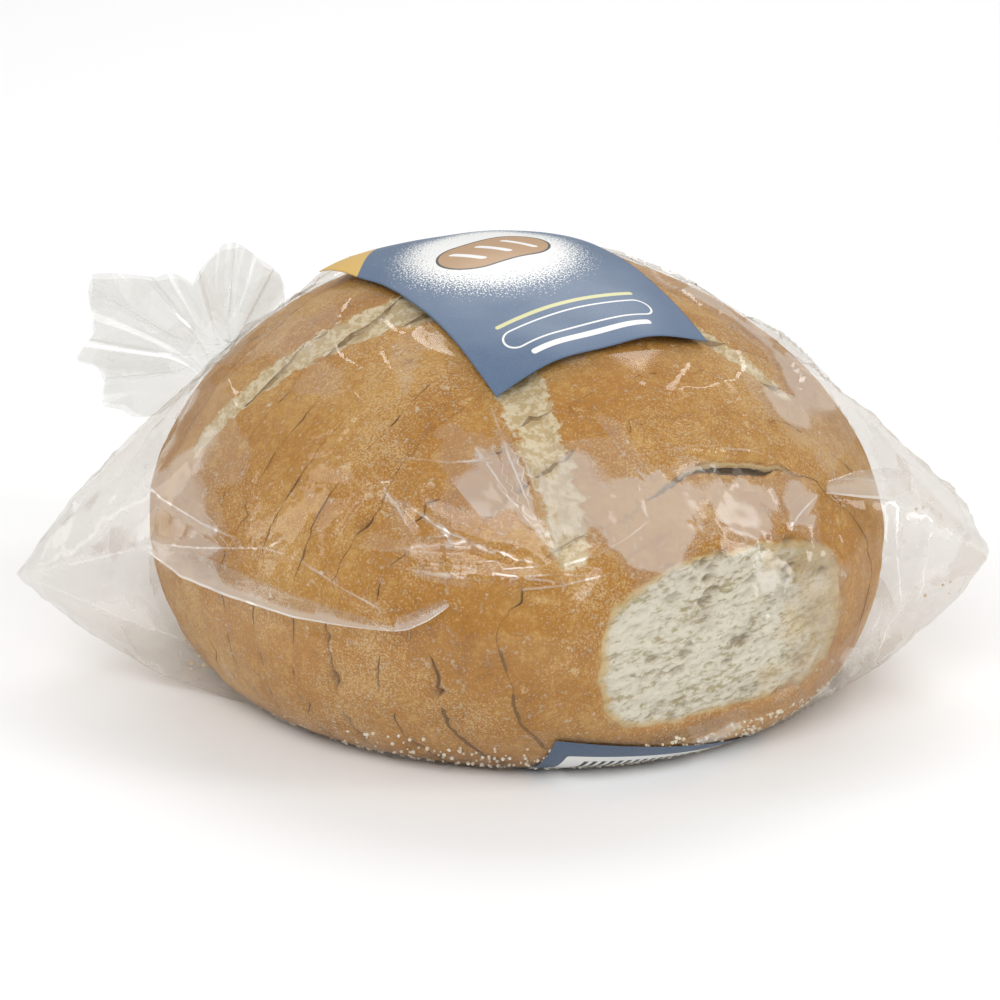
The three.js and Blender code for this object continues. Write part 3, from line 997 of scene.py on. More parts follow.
@dataclass
class Bread:
    """The slices of the loaf, between two end crusts.

    A span is the degrees between which something starts, and between which it ends, round a cut:
    0 is across, 90 is the top. The bumps are heights and sizes in millimetres, with noise seeds.
    """

    loaf: LoafForm
    finish: bpy.types.Material
    thickness: float = 10.9 * MM
    count: int = 14
    least_gap: float = -0.04 * MM
    gap: float = 0.6 * MM
    torn_at: float = 86 * MM
    segments: int = 300
    jag: float = 1.15 * MM
    chip: float = 2.0 * MM
    open_gap: float = 1.0 * MM
    forward: float = 3.4 * MM
    edge_drop: float = 2.1 * MM
    open_span: Span = ((42, 62), (98, 126))
    strip_span: Span = ((42, 58), (72, 98))
    forward_span: Span = ((82, 120), (128, 160))
    tight_span: Span = ((-100, -75), (36, 50))
    closed_span: Span = ((-100, -75), (40, 60))
    break_corners: int = 104
    undercut_depth: float = 1.6 * MM
    worn: float = 0.3 * MM
    worn_reach: float = 0.8 * MM
    bumps: tuple[tuple[float, float, float], ...] = ((0.45, 9, 1.0), (0.2, 3.2, 2.0), (0.1, 1.3, 4.0))
    blister_size: float = 6.5 * MM
    first_swell: float = 1.002
    swell: float = 0.0006
    strand_turn: float = math.radians(11)
    torn_middle: tuple[float, float] = (2.8 * MM, 32.8 * MM)
    torn_half: tuple[float, float] = (34.3 * MM, 20 * MM)
    torn_swell: float = 1.4 * MM
    torn_rough: float = 0.5 * MM
    torn_depth: float = 0.4 * MM
    pore_size: float = 2.8 * MM
    pore_depth: float = 1.1 * MM
    edge_round: float = 2.2 * MM
    pieces: list[bpy.types.Object] = field(default_factory=list)

    def cut_at(self, number: int) -> float:
        """Distance along to a cut; cut 1 is behind the front end crust."""
        return self.thickness * (self.count / 2 + 1 - number)

    def blank(self, segments: int, rows: int, rings: tuple[int, int]) -> bpy.types.Object:
        """A disc of radius and thickness 1 with rows round its side and rings on its flat faces.

        Args:
            segments: Corners round the disc.
            rows: Cuts round the side.
            rings: Rings on the rear and on the front face, the outer two narrow.

        Returns:
            The disc, its axis along Z.
        """
        deselect_all()
        bpy.ops.mesh.primitive_cylinder_add(vertices=segments, radius=1.0, depth=1.0)
        disc = bpy.context.object
        cut_side(disc, rows)
        for side, count in zip((-1.0, 1.0), rings):
            with edit_mode(disc, "FACE"):
                bpy.ops.mesh.select_all(action="DESELECT")
                bpy.ops.object.mode_set(mode="OBJECT")
                for face in disc.data.polygons:
                    face.select = face.normal.z * side > 0.9
                bpy.ops.object.mode_set(mode="EDIT")
                for step in [0.008, 0.022] + [0.95 / count] * (count - 2):
                    bpy.ops.mesh.inset(thickness=step)
                bpy.ops.mesh.poke()
        return disc

    def break_line(self, number: int, angle: np.ndarray) -> np.ndarray:
        """How far the crust's break strays from a cut, forwards or back, at each angle.

        Args:
            number: The cut's number.
            angle: Angles round the cut, in radians.

        Returns:
            A number for each angle.
        """
        draw = np.random.default_rng(40 + number)
        count = self.break_corners
        corners = np.sort(draw.uniform(-math.pi, math.pi, count))
        strays = draw.normal(0.0, 1.0, count) * (0.2 + draw.random(count) ** 2)
        ring = np.stack([np.cos(angle), np.sin(angle), np.full(len(angle), 3.7 * number)], axis=-1)
        broken = np.interp(angle, corners, strays, period=2 * math.pi)
        stray = self.jag * (1.1 * broken + 0.8 * grain(ring, 0.3, number * 1.3))
        stray = stray + 0.1 * MM * grain(ring, 0.02)
        if number != 1:
            return stray
        forward = self.within(self.forward_span, angle)
        return stray * (1.0 - 0.85 * self.gape(angle)) + self.forward * forward

    def opening(self, number: int, angle: np.ndarray) -> np.ndarray:
        """Width of the crack at a cut, at each angle; cut 1 gapes at the top.

        Args:
            number: The cut's number.
            angle: Angles round the cut, in radians.

        Returns:
            A number for each angle.
        """
        wide = self.gap * (1.2 if number == 2 else 0.8)
        width = self.least_gap + wide * self.parted(number, angle)
        return width + self.open_gap * self.gape(angle) if number == 1 else width

    def parted(self, number: int, angle: np.ndarray) -> np.ndarray:
        """Where the crust has come apart at a cut: more so low on the sides than over the top.

        Args:
            number: The cut's number.
            angle: Angles round the cut, in radians.

        Returns:
            A number for each angle.
        """
        ring = np.stack([np.cos(angle), np.sin(angle), np.full(len(angle), 1.9 * number)], axis=-1)
        low = 0.3 * smoothstep(0.15, -0.25, np.sin(angle)) - 0.3 * np.sin(angle)
        apart = smoothstep(0.08, 0.42, grain(ring, 0.075, 6.0 + number) + low)
        return apart * (1.0 - self.within(self.closed_span, angle)) if number == 1 else apart

    def within(self, span: Span, angle: np.ndarray) -> np.ndarray:
        """1 in a span and 0 outside it, with a smooth change between."""
        degrees = np.degrees(angle)
        return smoothstep(*span[0], degrees) * (1.0 - smoothstep(*span[1], degrees))

    def gape(self, angle: np.ndarray) -> np.ndarray:
        """Where the first cut stands open: 1 in the middle of the opening."""
        return self.within(self.open_span, angle)

    def chipped(self, number: int, angle: np.ndarray) -> np.ndarray:
        """Depth of crumbled places on the crust's edge at a cut, at each angle.

        Args:
            number: The cut's number.
            angle: Angles round the cut, in radians.

        Returns:
            A number for each angle.
        """
        ring = np.stack([np.cos(angle), np.sin(angle), np.full(len(angle), 2.9 * number)], axis=-1)
        some = smoothstep(-0.15, 0.3, grain(ring, 0.4, 3.0 + number))
        return self.chip * some * smoothstep(0.22, 0.5, grain(ring, 0.045, 9.0 + number))

    def shape(self, disc: bpy.types.Object, number: int, back: float, front: float) -> None:
        """Press a disc onto the loaf between two cuts and crumble its edges.

        Args:
            disc: The blank.
            number: The slice's number, 0 for the front end crust.
            back: Distance along to its rear.
            front: Distance along to its front.
        """
        points = read_points(disc)
        angle = np.arctan2(points[:, 1], points[:, 0])
        radius = np.hypot(points[:, 0], points[:, 1])
        share = 0.5 - 0.5 * np.cos(math.pi * (points[:, 2] + 0.5))
        rim = radius > 0.999
        along = back + share * (front - back)
        near_edge = smoothstep(0.6, 1.0, radius)
        chip = np.zeros(len(angle))
        for cut, weight, way in ((number + 1, 1.0 - share, 0.5), (number, share, -0.5)):
            if not 1 <= cut <= self.count + 1:
                continue
            stray = self.break_line(cut, angle) * near_edge + way * self.opening(cut, angle)
            along = along + stray * weight
            distance = (1.0 - weight) * (front - back)
            parted = self.parted(cut, angle)
            worn = self.worn * parted + self.chipped(cut, angle) * (0.2 + 0.8 * parted)
            if cut == 1:
                worn = worn * (1.0 - self.within(self.tight_span, angle))
            chip += worn * np.exp(-distance / self.worn_reach)
        if number == 1:
            along = along - self.undercut(angle, radius) * (share > 0.99)
        lowered = np.zeros(len(angle))
        if number == 0:
            behind = share * (front - back) / (5 * MM)
            lowered = self.edge_drop * self.within(self.strip_span, angle) * np.exp(-(behind**2))
        limit = self.loaf.length / 2 - 0.05 * MM
        level = np.full(len(along), self.loaf.widest)
        start = np.stack([np.clip(along, -limit, limit), 0.0 * along, level], axis=-1)
        direction = np.stack([0.0 * along, np.cos(angle), np.sin(angle)], axis=-1)
        size = self.loaf.reach(start, direction)
        up = self.loaf.widest + size * direction[:, 2]
        surface = self.loaf.place(along, size * direction[:, 1], up)
        flat = 1.0 - 0.9 * smoothstep(4 * MM, 0.5 * MM, up)
        grown = size + (self.crust_relief(surface) * rim - chip - lowered) * flat * near_edge
        out = radius * grown
        placed = self.loaf.place(
            along, out * direction[:, 1], self.loaf.widest + out * direction[:, 2])
        swollen = 1.0 + self.swell * math.sin(number * 1.7 + 0.5)
        placed = placed * (self.first_swell if number == 1 else swollen)
        placed[:, 2] = np.maximum(placed[:, 2], 0.1 * MM)
        write_points(disc, placed)
        crumb = 0.55 * smoothstep(1.0, 0.984, radius) + 0.45 * smoothstep(0.97, 0.88, radius)
        crumb = np.where(rim, 0.0, crumb)
        # Painted shade: the crumb faces darken towards the crust, as if shaded inside the cracks.
        crack_shade = np.where(rim, 0.0, 0.74 * smoothstep(0.9, 1.0, radius))
        if number <= 1:
            strip = self.within(self.strip_span, angle)
            crack_shade = crack_shade * (1.0 - strip)
            crumb = np.minimum(crumb, 1.0 - 0.48 * strip)
            # Painted shadow: a dark band on the first slice's face below its lit strip, inside the open
            # cut.
            crack_shade = crack_shade + 0.9 * strip * smoothstep(0.955, 0.93, radius) * (number == 1)
        # Painted shade: chipped places on the crust's edge darken too.
        painted_shade = np.maximum(np.clip(chip / self.chip, 0.0, 1.0) * 0.8, crack_shade)
        self.store(disc, surface, placed, crumb, painted_shade)

    def undercut(self, angle: np.ndarray, radius: np.ndarray) -> np.ndarray:
        """How far the crumb draws back under the crust where the first cut stands open."""
        below = smoothstep(0.95, 0.88, radius) * smoothstep(0.5, 0.85, radius)
        return self.undercut_depth * self.gape(angle) * below

    def store(self, disc: bpy.types.Object, surface: np.ndarray, placed: np.ndarray, crumb: np.ndarray,
              painted_shade: np.ndarray) -> None:
        """Keep what the finish reads at each vertex.

        Args:
            disc: The slice.
            surface: Places on the smooth loaf.
            placed: Places of the vertices.
            crumb: 1 in crumb, 0 in crust.
            painted_shade: Painted shade in cracks, chipped places and hollows, darkest at 1.
        """
        draw_tone = 0.06 * math.sin(7.1 * surface[0, 0] / MM)
        toast = 0.36 + 0.3 * grain(surface, 34 * MM, 11.0) + 0.22 * grain(surface, 12 * MM, 12.0)
        toast = toast + 0.2 * grain(surface, 4 * MM, 13.0) + draw_tone
        blister, _, number = cells(surface, self.blister_size)
        pale_spot = smoothstep(0.2, 0.1, blister) * (number > 0.72)
        dust = 0.35 + 0.5 * grain(surface, 22 * MM, 14.0) + 0.3 * grain(surface, 5 * MM, 15.0)
        dust = dust + 0.7 * pale_spot
        local = self.loaf.measure(placed) / MM
        turned = math.cos(self.strand_turn), math.sin(self.strand_turn)
        strand = local[:, 1] * turned[0] + local[:, 2] * turned[1]
        rise = local[:, 2] * turned[0] - local[:, 1] * turned[1]
        write_place(disc, "crumb_place", np.stack([strand, rise, local[:, 0]], axis=-1))
        write_value(disc, "toast", toast - 0.3 * pale_spot)
        write_value(disc, "dust", np.clip(dust, 0.0, 1.2))
        write_value(disc, "crumb", crumb)
        write_value(disc, "score", self.loaf.score(surface) * (crumb < 0.5))
        write_value(disc, "painted_shade", painted_shade)
        # Painted shade near the base: the under value rises over the lowest 7 mm.
        write_value(disc, "under", smoothstep(7 * MM, 0.0, surface[:, 2]) * 0.7)

    def crust_relief(self, points: np.ndarray) -> np.ndarray:
        """Height of the crust over the smooth loaf.

        Args:
            points: Rows of x, y, z.

        Returns:
            A height for each point.
        """
        score = self.loaf.score(points)
        relief = self.loaf.lump(points) - self.loaf.score_depth * score
        lips = np.exp(-(((score - 0.12) / 0.1) ** 2)) * 0.5 * MM
        relief = relief + lips * (score > 0.0)
        for height, size, seed in self.bumps:
            relief = relief + height * MM * grain(points, size * MM, seed)
        return relief - 0.3 * MM

    def middle_slices(self) -> list[bpy.types.Object]:
        """The slices between the end crusts, from the front to the back.

        Returns:
            The slices' meshes.
        """
        blank = self.blank(self.segments, 9, (8, 8))
        slices = []
        for number in range(2, self.count + 1):
            piece = blank if number == self.count else blank.copy()
            if piece is not blank:
                piece.data = blank.data.copy()
                bpy.context.scene.collection.objects.link(piece)
            self.shape(piece, number, self.cut_at(number + 1), self.cut_at(number))
            slices.append(piece)
        return slices

    def first_slice(self) -> bpy.types.Object:
        """The slice behind the open gap, with more rings on its front.

        Returns:
            The finished mesh.
        """
        piece = self.blank(self.segments, 9, (8, 34))
        self.shape(piece, 1, self.cut_at(2), self.cut_at(1))
        return piece

    def back_end(self) -> bpy.types.Object:
        """The rounded end crust at the back.

        Returns:
            The finished mesh.
        """
        piece = self.blank(self.segments, 22, (8, 8))
        self.shape(piece, self.count + 1, -self.loaf.length / 2, self.cut_at(self.count + 1))
        return piece

    def front_end(self) -> bpy.types.Object:
        """The front end crust with its torn face.

        Returns:
            The finished mesh.
        """
        piece = self.blank(400, 14, (16, 84))
        self.shape(piece, 0, self.cut_at(1), self.torn_at)
        self.tear(piece)
        return piece

    def tear(self, piece: bpy.types.Object) -> None:
        """Roughen the front of the end crust where it was torn from its neighbour.

        Args:
            piece: The end crust.
        """
        points = read_points(piece)
        along, across, up = self.loaf.measure(points).T
        face = smoothstep(self.torn_at - 1.2 * MM, self.torn_at - 0.2 * MM, along)
        near = smoothstep(self.torn_at - 6 * MM, self.torn_at - 3.5 * MM, along)
        aside = (across - self.torn_middle[0]) / self.torn_half[0]
        above = (up - self.torn_middle[1]) / self.torn_half[1]
        left, right = np.where(above > 0, 2.3, 5.0), np.where(above > 0, 3.4, 2.9)
        corner = np.where(aside > 0, right, left)
        oval = (np.abs(aside) ** corner + np.abs(above) ** corner) ** (1 / corner)
        oval = oval + 0.05 * grain(points, 8 * MM, 5.0) + 0.03 * grain(points, 2.5 * MM, 6.0)
        torn = smoothstep(1.04, 0.95, oval) * near
        turned = math.cos(self.strand_turn), math.sin(self.strand_turn)
        strand = across * turned[0] + up * turned[1]
        rise = up * turned[0] - across * turned[1]
        flat = np.stack([strand / 1.9, rise, 0.0 * rise], axis=-1)
        relief = grain(flat, 2.2 * MM, 7.0) + 0.8 * grain(flat * [1.2, 1, 1], 1.0 * MM, 8.0)
        hole, _, number = cells(flat, self.pore_size)
        pits = smoothstep(0.52, 0.2, hole) * (number > 0.5)
        swell = self.torn_swell * np.clip(1.0 - oval**2, -0.6, 1.0)
        rough = self.torn_rough * relief - self.pore_depth * pits - self.torn_depth
        move = swell * face + torn * rough
        crust = face * (1.0 - torn)
        rounding = self.edge_round * smoothstep(1.0, 1.35, oval)
        move = move + crust * (0.3 * MM * grain(points, 2.4 * MM, 3.0) - rounding)
        write_points(piece, points + move[:, None] * self.loaf.axes[0])
        plan = np.hypot(along / (self.loaf.length / 2), across / (self.loaf.width / 2))
        turned_over = (plan > 0.985 * self.loaf.share(up)) | (crust > 0.6) | (face < 0.5)
        self.round_edge(piece, (along > self.torn_at - 5 * MM) & turned_over)
        browned = smoothstep(0.0, 0.9, aside + 0.5 * grain(points, 6 * MM, 10.0))
        inner = smoothstep(1.05, 0.84, oval) * (1.0 - 0.3 * browned)
        self.change_value(piece, "crumb", (face > 0.5) | (torn > 0.2), inner)
        # Painted shade in the torn face's pores and hollows, and a darker tone towards the right and
        # top, go into the pit value.
        patchy = smoothstep(-0.1, 0.9, grain(points, 8 * MM, 8.0) + 0.35 * above + 0.8 * aside)
        shade = torn * (0.3 * pits + 0.2 * smoothstep(0.1, -0.8, relief) + 0.26 * patchy)
        self.change_value(piece, "painted_shade", face > 0.5, shade)
        browner = 0.25 * crust * smoothstep(1.3, 1.02, oval)
        self.change_value(piece, "toast", face > 0.5, 0.3 + browner + 0.2 * grain(points, 6 * MM, 2.0))

    def round_edge(self, piece: bpy.types.Object, chosen: np.ndarray) -> None:
        """Smooth the vertices where the crust turns over to the torn face.

        Args:
            piece: The end crust.
            chosen: True for each such vertex.
        """
        with edit_mode(piece):
            bpy.ops.object.mode_set(mode="OBJECT")
            piece.data.vertices.foreach_set("select", chosen)
            bpy.ops.object.mode_set(mode="EDIT")
            bpy.ops.mesh.vertices_smooth(factor=0.5, repeat=14)

    def change_value(self, piece: bpy.types.Object, name: str, where: np.ndarray,
                     values: np.ndarray) -> None:
        """Put new numbers into a stored value at some vertices.

        Args:
            piece: The slice.
            name: The value's name.
            where: True where it changes.
            values: The new numbers.
        """
        kept = np.empty(len(where), dtype=np.float32)
        data = piece.data.attributes[name].data
        data.foreach_get("value", kept)
        data.foreach_set("value", np.where(where, values, kept).astype(np.float32))

    def build(self) -> None:
        """Make all slices."""
        named = [("end_crust_front", self.front_end()), ("slice_01", self.first_slice())]
        for number, piece in enumerate(self.middle_slices(), 2):
            named.append((f"slice_{number:02d}", piece))
        named.append(("end_crust_back", self.back_end()))
        for name, piece in named:
            face_outwards(piece)
            smooth(piece, math.radians(50))
            settle(piece, name, Node.BAG, self.finish)
            self.pieces.append(piece)

    def tree(self) -> BVHTree:
        """All slices as one search tree, for what lies on them.

        Returns:
            The tree.
        """
        points: list[np.ndarray] = []
        faces: list[tuple[int, ...]] = []
        for piece in self.pieces:
            offset = sum(len(part) for part in points)
            points.append(read_points(piece))
            for face in piece.data.polygons:
                faces.append(tuple(corner + offset for corner in face.vertices))
        return BVHTree.FromPolygons(np.concatenate(points).tolist(), faces)


# The film


@dataclass(frozen=True)
class Crease:
    """A sharp line in the film between places seen at two or more pixels."""

    pixels: tuple[tuple[float, float], ...]
    height: float
    width: float
    lift: float = 0.0


Spot = tuple[float, float, float, float]


@dataclass
class Bag:
    """The clear bag: its film round the bread, its gathered tail and its folded flaps.

    A spot is a pixel, a radius in millimetres, and how much is added in its middle: milkiness
    where the film is lifted (haze with a painted reflection of the surround), or height in millimetres
    for a puff.
    """

    form: BagForm
    view: PhotoView
    bread: BVHTree
    finish: bpy.types.Material
    tail_finish: bpy.types.Material
    cuts: tuple[int, int] = (7, 15)
    rest_gap: float = 0.4 * MM
    facet: float = 13 * MM
    facet_height: float = 0.55 * MM
    fine_share: float = 0.45
    fine_height: float = 0.28 * MM
    slack: float = 0.3 * MM
    free_slack: float = 1.6 * MM
    neck_radius: float = 6.3 * MM
    crease_away: np.ndarray | None = None
    crease_near: np.ndarray | None = None
    creases: tuple[Crease, ...] = (
        Crease(((490, 404), (508, 455), (530, 510), (561, 566)), 1.5 * MM, 2.4 * MM, 0.2),
        Crease(((502, 410), (528, 470), (545, 520), (562, 560)), 0.9 * MM, 1.5 * MM, -0.3),
        Crease(((540, 470), (548, 520), (562, 556)), 0.8 * MM, 1.6 * MM, 0.3),
        Crease(((470, 440), (515, 505), (556, 560)), 1.0 * MM, 2.0 * MM, 0.25),
        Crease(((378, 552), (440, 545), (500, 552), (548, 568)), 1.2 * MM, 2.2 * MM, 0.35),
        Crease(((385, 560), (450, 566), (520, 578), (556, 574)), 1.2 * MM, 2.6 * MM, -0.45),
        Crease(((388, 566), (450, 576), (512, 584)), 1.0 * MM, 2.0 * MM, 0.4),
        Crease(((400, 500), (440, 528), (490, 552), (540, 566)), 1.0 * MM, 1.8 * MM, 0.3),
        Crease(((385, 492), (398, 505), (408, 528)), 0.8 * MM, 1.4 * MM, 0.3),
        Crease(((370, 470), (388, 490), (396, 512)), 0.8 * MM, 1.4 * MM, 0.25),
        Crease(((400, 458), (450, 463), (486, 460)), 0.7 * MM, 1.5 * MM, 0.15),
        Crease(((132, 470), (165, 500), (205, 524), (240, 540)), 1.2 * MM, 2.4 * MM, 0.3),
        Crease(((148, 543), (200, 548), (265, 549), (284, 541)), 1.2 * MM, 1.8 * MM, 0.35),
        Crease(((258, 545), (300, 560), (345, 590), (384, 610)), 0.9 * MM, 1.6 * MM, 0.2),
        Crease(((561, 566), (596, 556), (625, 540), (650, 520)), 0.8 * MM, 1.8 * MM, 0.2),
        Crease(((520, 590), (560, 586), (610, 574)), 0.8 * MM, 2.2 * MM, -0.3),
        Crease(((788, 528), (802, 510), (818, 494)), 1.4 * MM, 1.8 * MM, 0.5),
        Crease(((640, 455), (700, 447), (760, 452)), 0.6 * MM, 1.4 * MM, 0.1),
        Crease(((825, 482), (852, 480), (880, 484)), 1.2 * MM, 2.0 * MM, 0.3),
        Crease(((830, 495), (880, 503), (972, 547)), 1.6 * MM, 2.6 * MM, 0.3),
        Crease(((860, 420), (890, 500), (895, 600), (860, 680)), 1.6 * MM, 2.6 * MM, 0.2),
        Crease(((905, 470), (925, 530), (915, 610)), 1.2 * MM, 2.2 * MM, 0.2),
        Crease(((30, 572), (90, 560), (150, 545)), 1.5 * MM, 2.4 * MM, 0.3),
        Crease(((30, 576), (100, 600), (190, 640)), 1.3 * MM, 2.2 * MM, 0.2),
        Crease(((200, 390), (170, 450), (120, 520)), 1.2 * MM, 2.4 * MM, 0.2),
    )
    lifted: tuple[Spot, ...] = (
        (535, 495, 18, 0.26), (612, 530, 14, 0.25), (480, 470, 16, 0.2), (660, 520, 12, 0.36),
        (750, 505, 10, 0.2), (590, 430, 12, 0.16), (180, 520, 16, 0.12), (330, 330, 14, 0.15),
        (790, 400, 12, 0.2), (680, 600, 10, 0.1), (590, 620, 12, -0.2), (560, 690, 22, -0.3),
        (450, 720, 24, -0.3), (300, 690, 22, -0.2), (262, 558, 13, -0.7), (720, 432, 14, -0.35),
        (845, 520, 12, -0.4), (520, 563, 8, -0.6), (772, 573, 8, -0.5), (245, 590, 12, -0.3),
        (700, 535, 9, -0.35), (590, 580, 9, -0.4), (345, 455, 22, -0.2), (740, 640, 24, -0.25),
        (600, 480, 14, 0.3), (650, 525, 14, 0.2), (700, 505, 11, 0.2), (800, 500, 9, 0.5),
        (740, 322, 13, 0.35), (805, 375, 13, 0.4), (680, 285, 12, 0.3), (190, 612, 14, -0.35),
        (330, 280, 10, 0.2),
    )
    puffs: tuple[Spot, ...] = ((332, 262, 15, 3.2), (303, 298, 10, 1.8), (800, 360, 22, 2.0))
    top_middle: tuple[float, float] = (3.8 * MM, -5.5 * MM)
    top_half: tuple[float, float] = (43.8 * MM, 28.5 * MM)
    base_middle: float = -9 * MM
    base_half: float = 29 * MM
    tail_corners: int = 360
    tail_rows: int = 70
    tail_start: float = -6 * MM
    stem_length: float = 14.5 * MM
    stem_end: float = 8.5 * MM
    tail_outline: tuple[tuple[float, float], ...] = (
        (284, 307), (280, 276), (254, 252), (221, 250), (193, 283), (155, 280), (124, 274),
        (91, 275), (90, 292), (94, 332), (78, 357), (95, 363), (101, 373), (105, 386),
        (101, 406), (124, 406), (159, 415),
    )
    tail_folds: tuple[float, ...] = (62, 84, 104, 131, 153, 171, 192)
    tail_lean: float = 5 * MM
    pleat: float = 3.4 * MM
    crumple: float = 0.8 * MM
    fold_grid: tuple[int, int] = (90, 14)
    fold_rise: float = 1.3 * MM
    fold_more: float = 1.6 * MM

    def blank(self) -> bpy.types.Object:
        """A ball of even squares, from a cube that is subdivided and rounded.

        Returns:
            The ball, of radius 1.
        """
        deselect_all()
        bpy.ops.mesh.primitive_cube_add(size=2.0)
        ball = bpy.context.object
        with edit_mode(ball):
            bpy.ops.mesh.select_all(action="SELECT")
            for count in self.cuts:
                bpy.ops.mesh.subdivide(number_cuts=count)
            bpy.ops.transform.tosphere(value=1.0)
        return ball

    def film(self) -> bpy.types.Object:
        """The film round the bread.

        Returns:
            The finished mesh.
        """
        ball = self.blank()
        direction = read_points(ball)
        direction /= np.linalg.norm(direction, axis=1)[:, None]
        reach = np.maximum(self.form.reach(direction), self.bread_reach(direction) + self.rest_gap)
        points = self.form.centre + direction * reach[:, None]
        points[:, 2] = np.maximum(points[:, 2], 0.0)
        write_points(ball, points)
        normal = point_normals(ball)
        height, lift = self.wrinkles(points, direction)
        points = points + normal * np.clip(height, 0.0, None)[:, None]
        points[:, 2] = np.maximum(points[:, 2], 0.05 * MM)
        write_points(ball, points)
        gap = np.array([self.bread.find_nearest(Vector(point))[3] for point in points])
        # The lift value sets the milky haze with its painted reflection, more where the film stands off
        # the bread.
        write_value(ball, "lift", lift + 0.14 * smoothstep(0.6 * MM, 3.0 * MM, gap))
        # The crease values paint a highlight line along each crease.
        write_value(ball, "crease_away", self.crease_away)
        broken = 0.25 + 0.75 * smoothstep(-0.2, 0.2, grain(points, 9 * MM, 9.0))
        write_value(ball, "crease_near", self.crease_near * broken)
        return ball

    def bread_reach(self, direction: np.ndarray) -> np.ndarray:
        """Distance from the middle to the outside of the bread in each direction.

        Args:
            direction: Unit directions.

        Returns:
            A distance for each direction.
        """
        far = 0.2
        middle = Vector(self.form.centre)
        found = np.zeros(len(direction))
        for index, way in enumerate(direction):
            ray = Vector(way)
            distance = self.bread.ray_cast(middle + ray * far, -ray)[3]
            found[index] = far - distance if distance is not None else 0.0
        return found

    def wrinkles(self, points: np.ndarray, direction: np.ndarray) -> tuple[np.ndarray, np.ndarray]:
        """How far the film stands off its smooth form, and how milky it looks there: haze with a
        painted reflection of the surround.

        Args:
            points: Rows of x, y, z.
            direction: Unit directions to them.

        Returns:
            Heights, and milkiness: haze with a painted reflection.
        """
        free = np.zeros(len(points))
        for pull in (self.form.left, self.form.right, self.form.neck):
            free = np.maximum(free, self.form.pulled(pull, direction))
        slant = points * np.array([1.0, 0.8, 1.3])
        shifted = slant + 2.5 * MM * grain(points, 11 * MM, 1.0)[:, None]
        near, second, number = cells(shifted, self.facet)
        edge = smoothstep(0.16, 0.0, second - near)
        height = self.facet_height * (0.9 * edge * number + 0.8 * (number - 0.3) * (1.0 - near))
        narrowed = slant * np.array([1.0, 1.0, 0.6])
        fine_near, fine_second, fine_number = cells(narrowed, self.facet * self.fine_share)
        fine = smoothstep(0.18, 0.0, fine_second - fine_near) * (fine_number > 0.5)
        height = height + self.fine_height * fine * (0.5 + free)
        slack = self.slack + self.free_slack * free
        height = height + slack * (0.5 + 0.5 * grain(points, 14 * MM, 2.0))
        height = height + 0.3 * MM * grain(slant, 9 * MM, 7.0)
        height = height + 0.12 * MM * grain(slant, 4.5 * MM, 8.0)
        streaked = points @ np.array([[0.5, 0.3, 0.0], [0.0, 1.0, 0.0], [0.0, -0.4, 1.0]])
        lift = 0.33 + 0.21 * grain(streaked, 15 * MM, 3.0) + 0.1 * grain(streaked, 5 * MM, 4.0)
        lift = lift + 0.12 * (number - 0.5) + 0.12 * free
        height, lift = self.add_fans(points, direction, height, lift)
        self.crease_away = np.full(len(points), 3.0)
        self.crease_near = np.zeros(len(points))
        for crease in self.creases:
            ridge = self.ridge(crease, points)
            height = height + 0.75 * crease.height * ridge
            lift = lift + crease.lift * ridge
        for x, y, radius, more in self.puffs:
            middle = self.view.on_bag(self.form, [(x, y)])[0]
            away = np.linalg.norm(points - middle, axis=1) / (radius * MM)
            height = height + more * MM * smoothstep(1.0, 0.0, away)
        for x, y, radius, more in self.lifted:
            middle = self.view.on_bag(self.form, [(x, y)])[0]
            away = np.linalg.norm(points - middle, axis=1) / (radius * MM)
            lift = lift + more * smoothstep(1.2, 0.4, away)
        return height * self.loose(points), lift

    def loose(self, points: np.ndarray) -> np.ndarray:
        """Where the film may wrinkle: 1 all over, and little under the top label and the base.

        Args:
            points: Rows of x, y, z.

        Returns:
            A share for each point.
        """
        along, across, up = self.form.loaf.measure(points).T
        past_end = np.abs(along - self.top_middle[0]) - self.top_half[0]
        past_side = np.abs(across - self.top_middle[1]) - self.top_half[1]
        outside = np.maximum(past_end, past_side)
        pressed = smoothstep(3 * MM, 0.5 * MM, outside) * (up > 60 * MM)
        past_base = np.abs(across - self.base_middle) - self.base_half
        label_side = smoothstep(4 * MM, 1 * MM, past_base) * (along > 60 * MM)
        pressed = np.maximum(pressed, label_side * smoothstep(18 * MM, 13 * MM, up))
        return 1.0 - 0.93 * pressed

    def add_fans(self, points: np.ndarray, direction: np.ndarray, height: np.ndarray,
                 lift: np.ndarray) -> tuple[np.ndarray, np.ndarray]:
        """Folds that run together at the corners and at the neck.

        Args:
            points: Rows of x, y, z.
            direction: Unit directions to them.
            height: Heights so far.
            lift: Milkiness so far, haze with a painted reflection.

        Returns:
            Heights, and milkiness with its painted reflection, with the folds.
        """
        fans = (
            (self.form.left, 7, 1.1 * MM),
            (self.form.right, 6, 1.1 * MM),
            (self.form.neck, 15, 1.3 * MM),
        )
        for pull, count, depth in fans:
            axis = Vector(pull.tip) - Vector(self.form.centre)
            axis.normalize()
            side = axis.cross(Vector((0, 0, 1))).normalized()
            top = side.cross(axis)
            around = np.arctan2(direction @ np.array(top), direction @ np.array(side))
            away = np.arccos(np.clip(direction @ np.array(axis), -1.0, 1.0))
            fold = np.abs(np.sin(around * count / 2 + 0.5 * np.sin(3 * around) + 4.0 * away))
            weight = self.form.pulled(pull, direction)
            fade = smoothstep(0.0, 0.35, weight) * smoothstep(0.0, 0.12, away)
            height = height + depth * (1.0 - fold) ** 1.5 * fade
            lift = lift + 0.18 * (1.0 - fold) * fade
        return height, lift

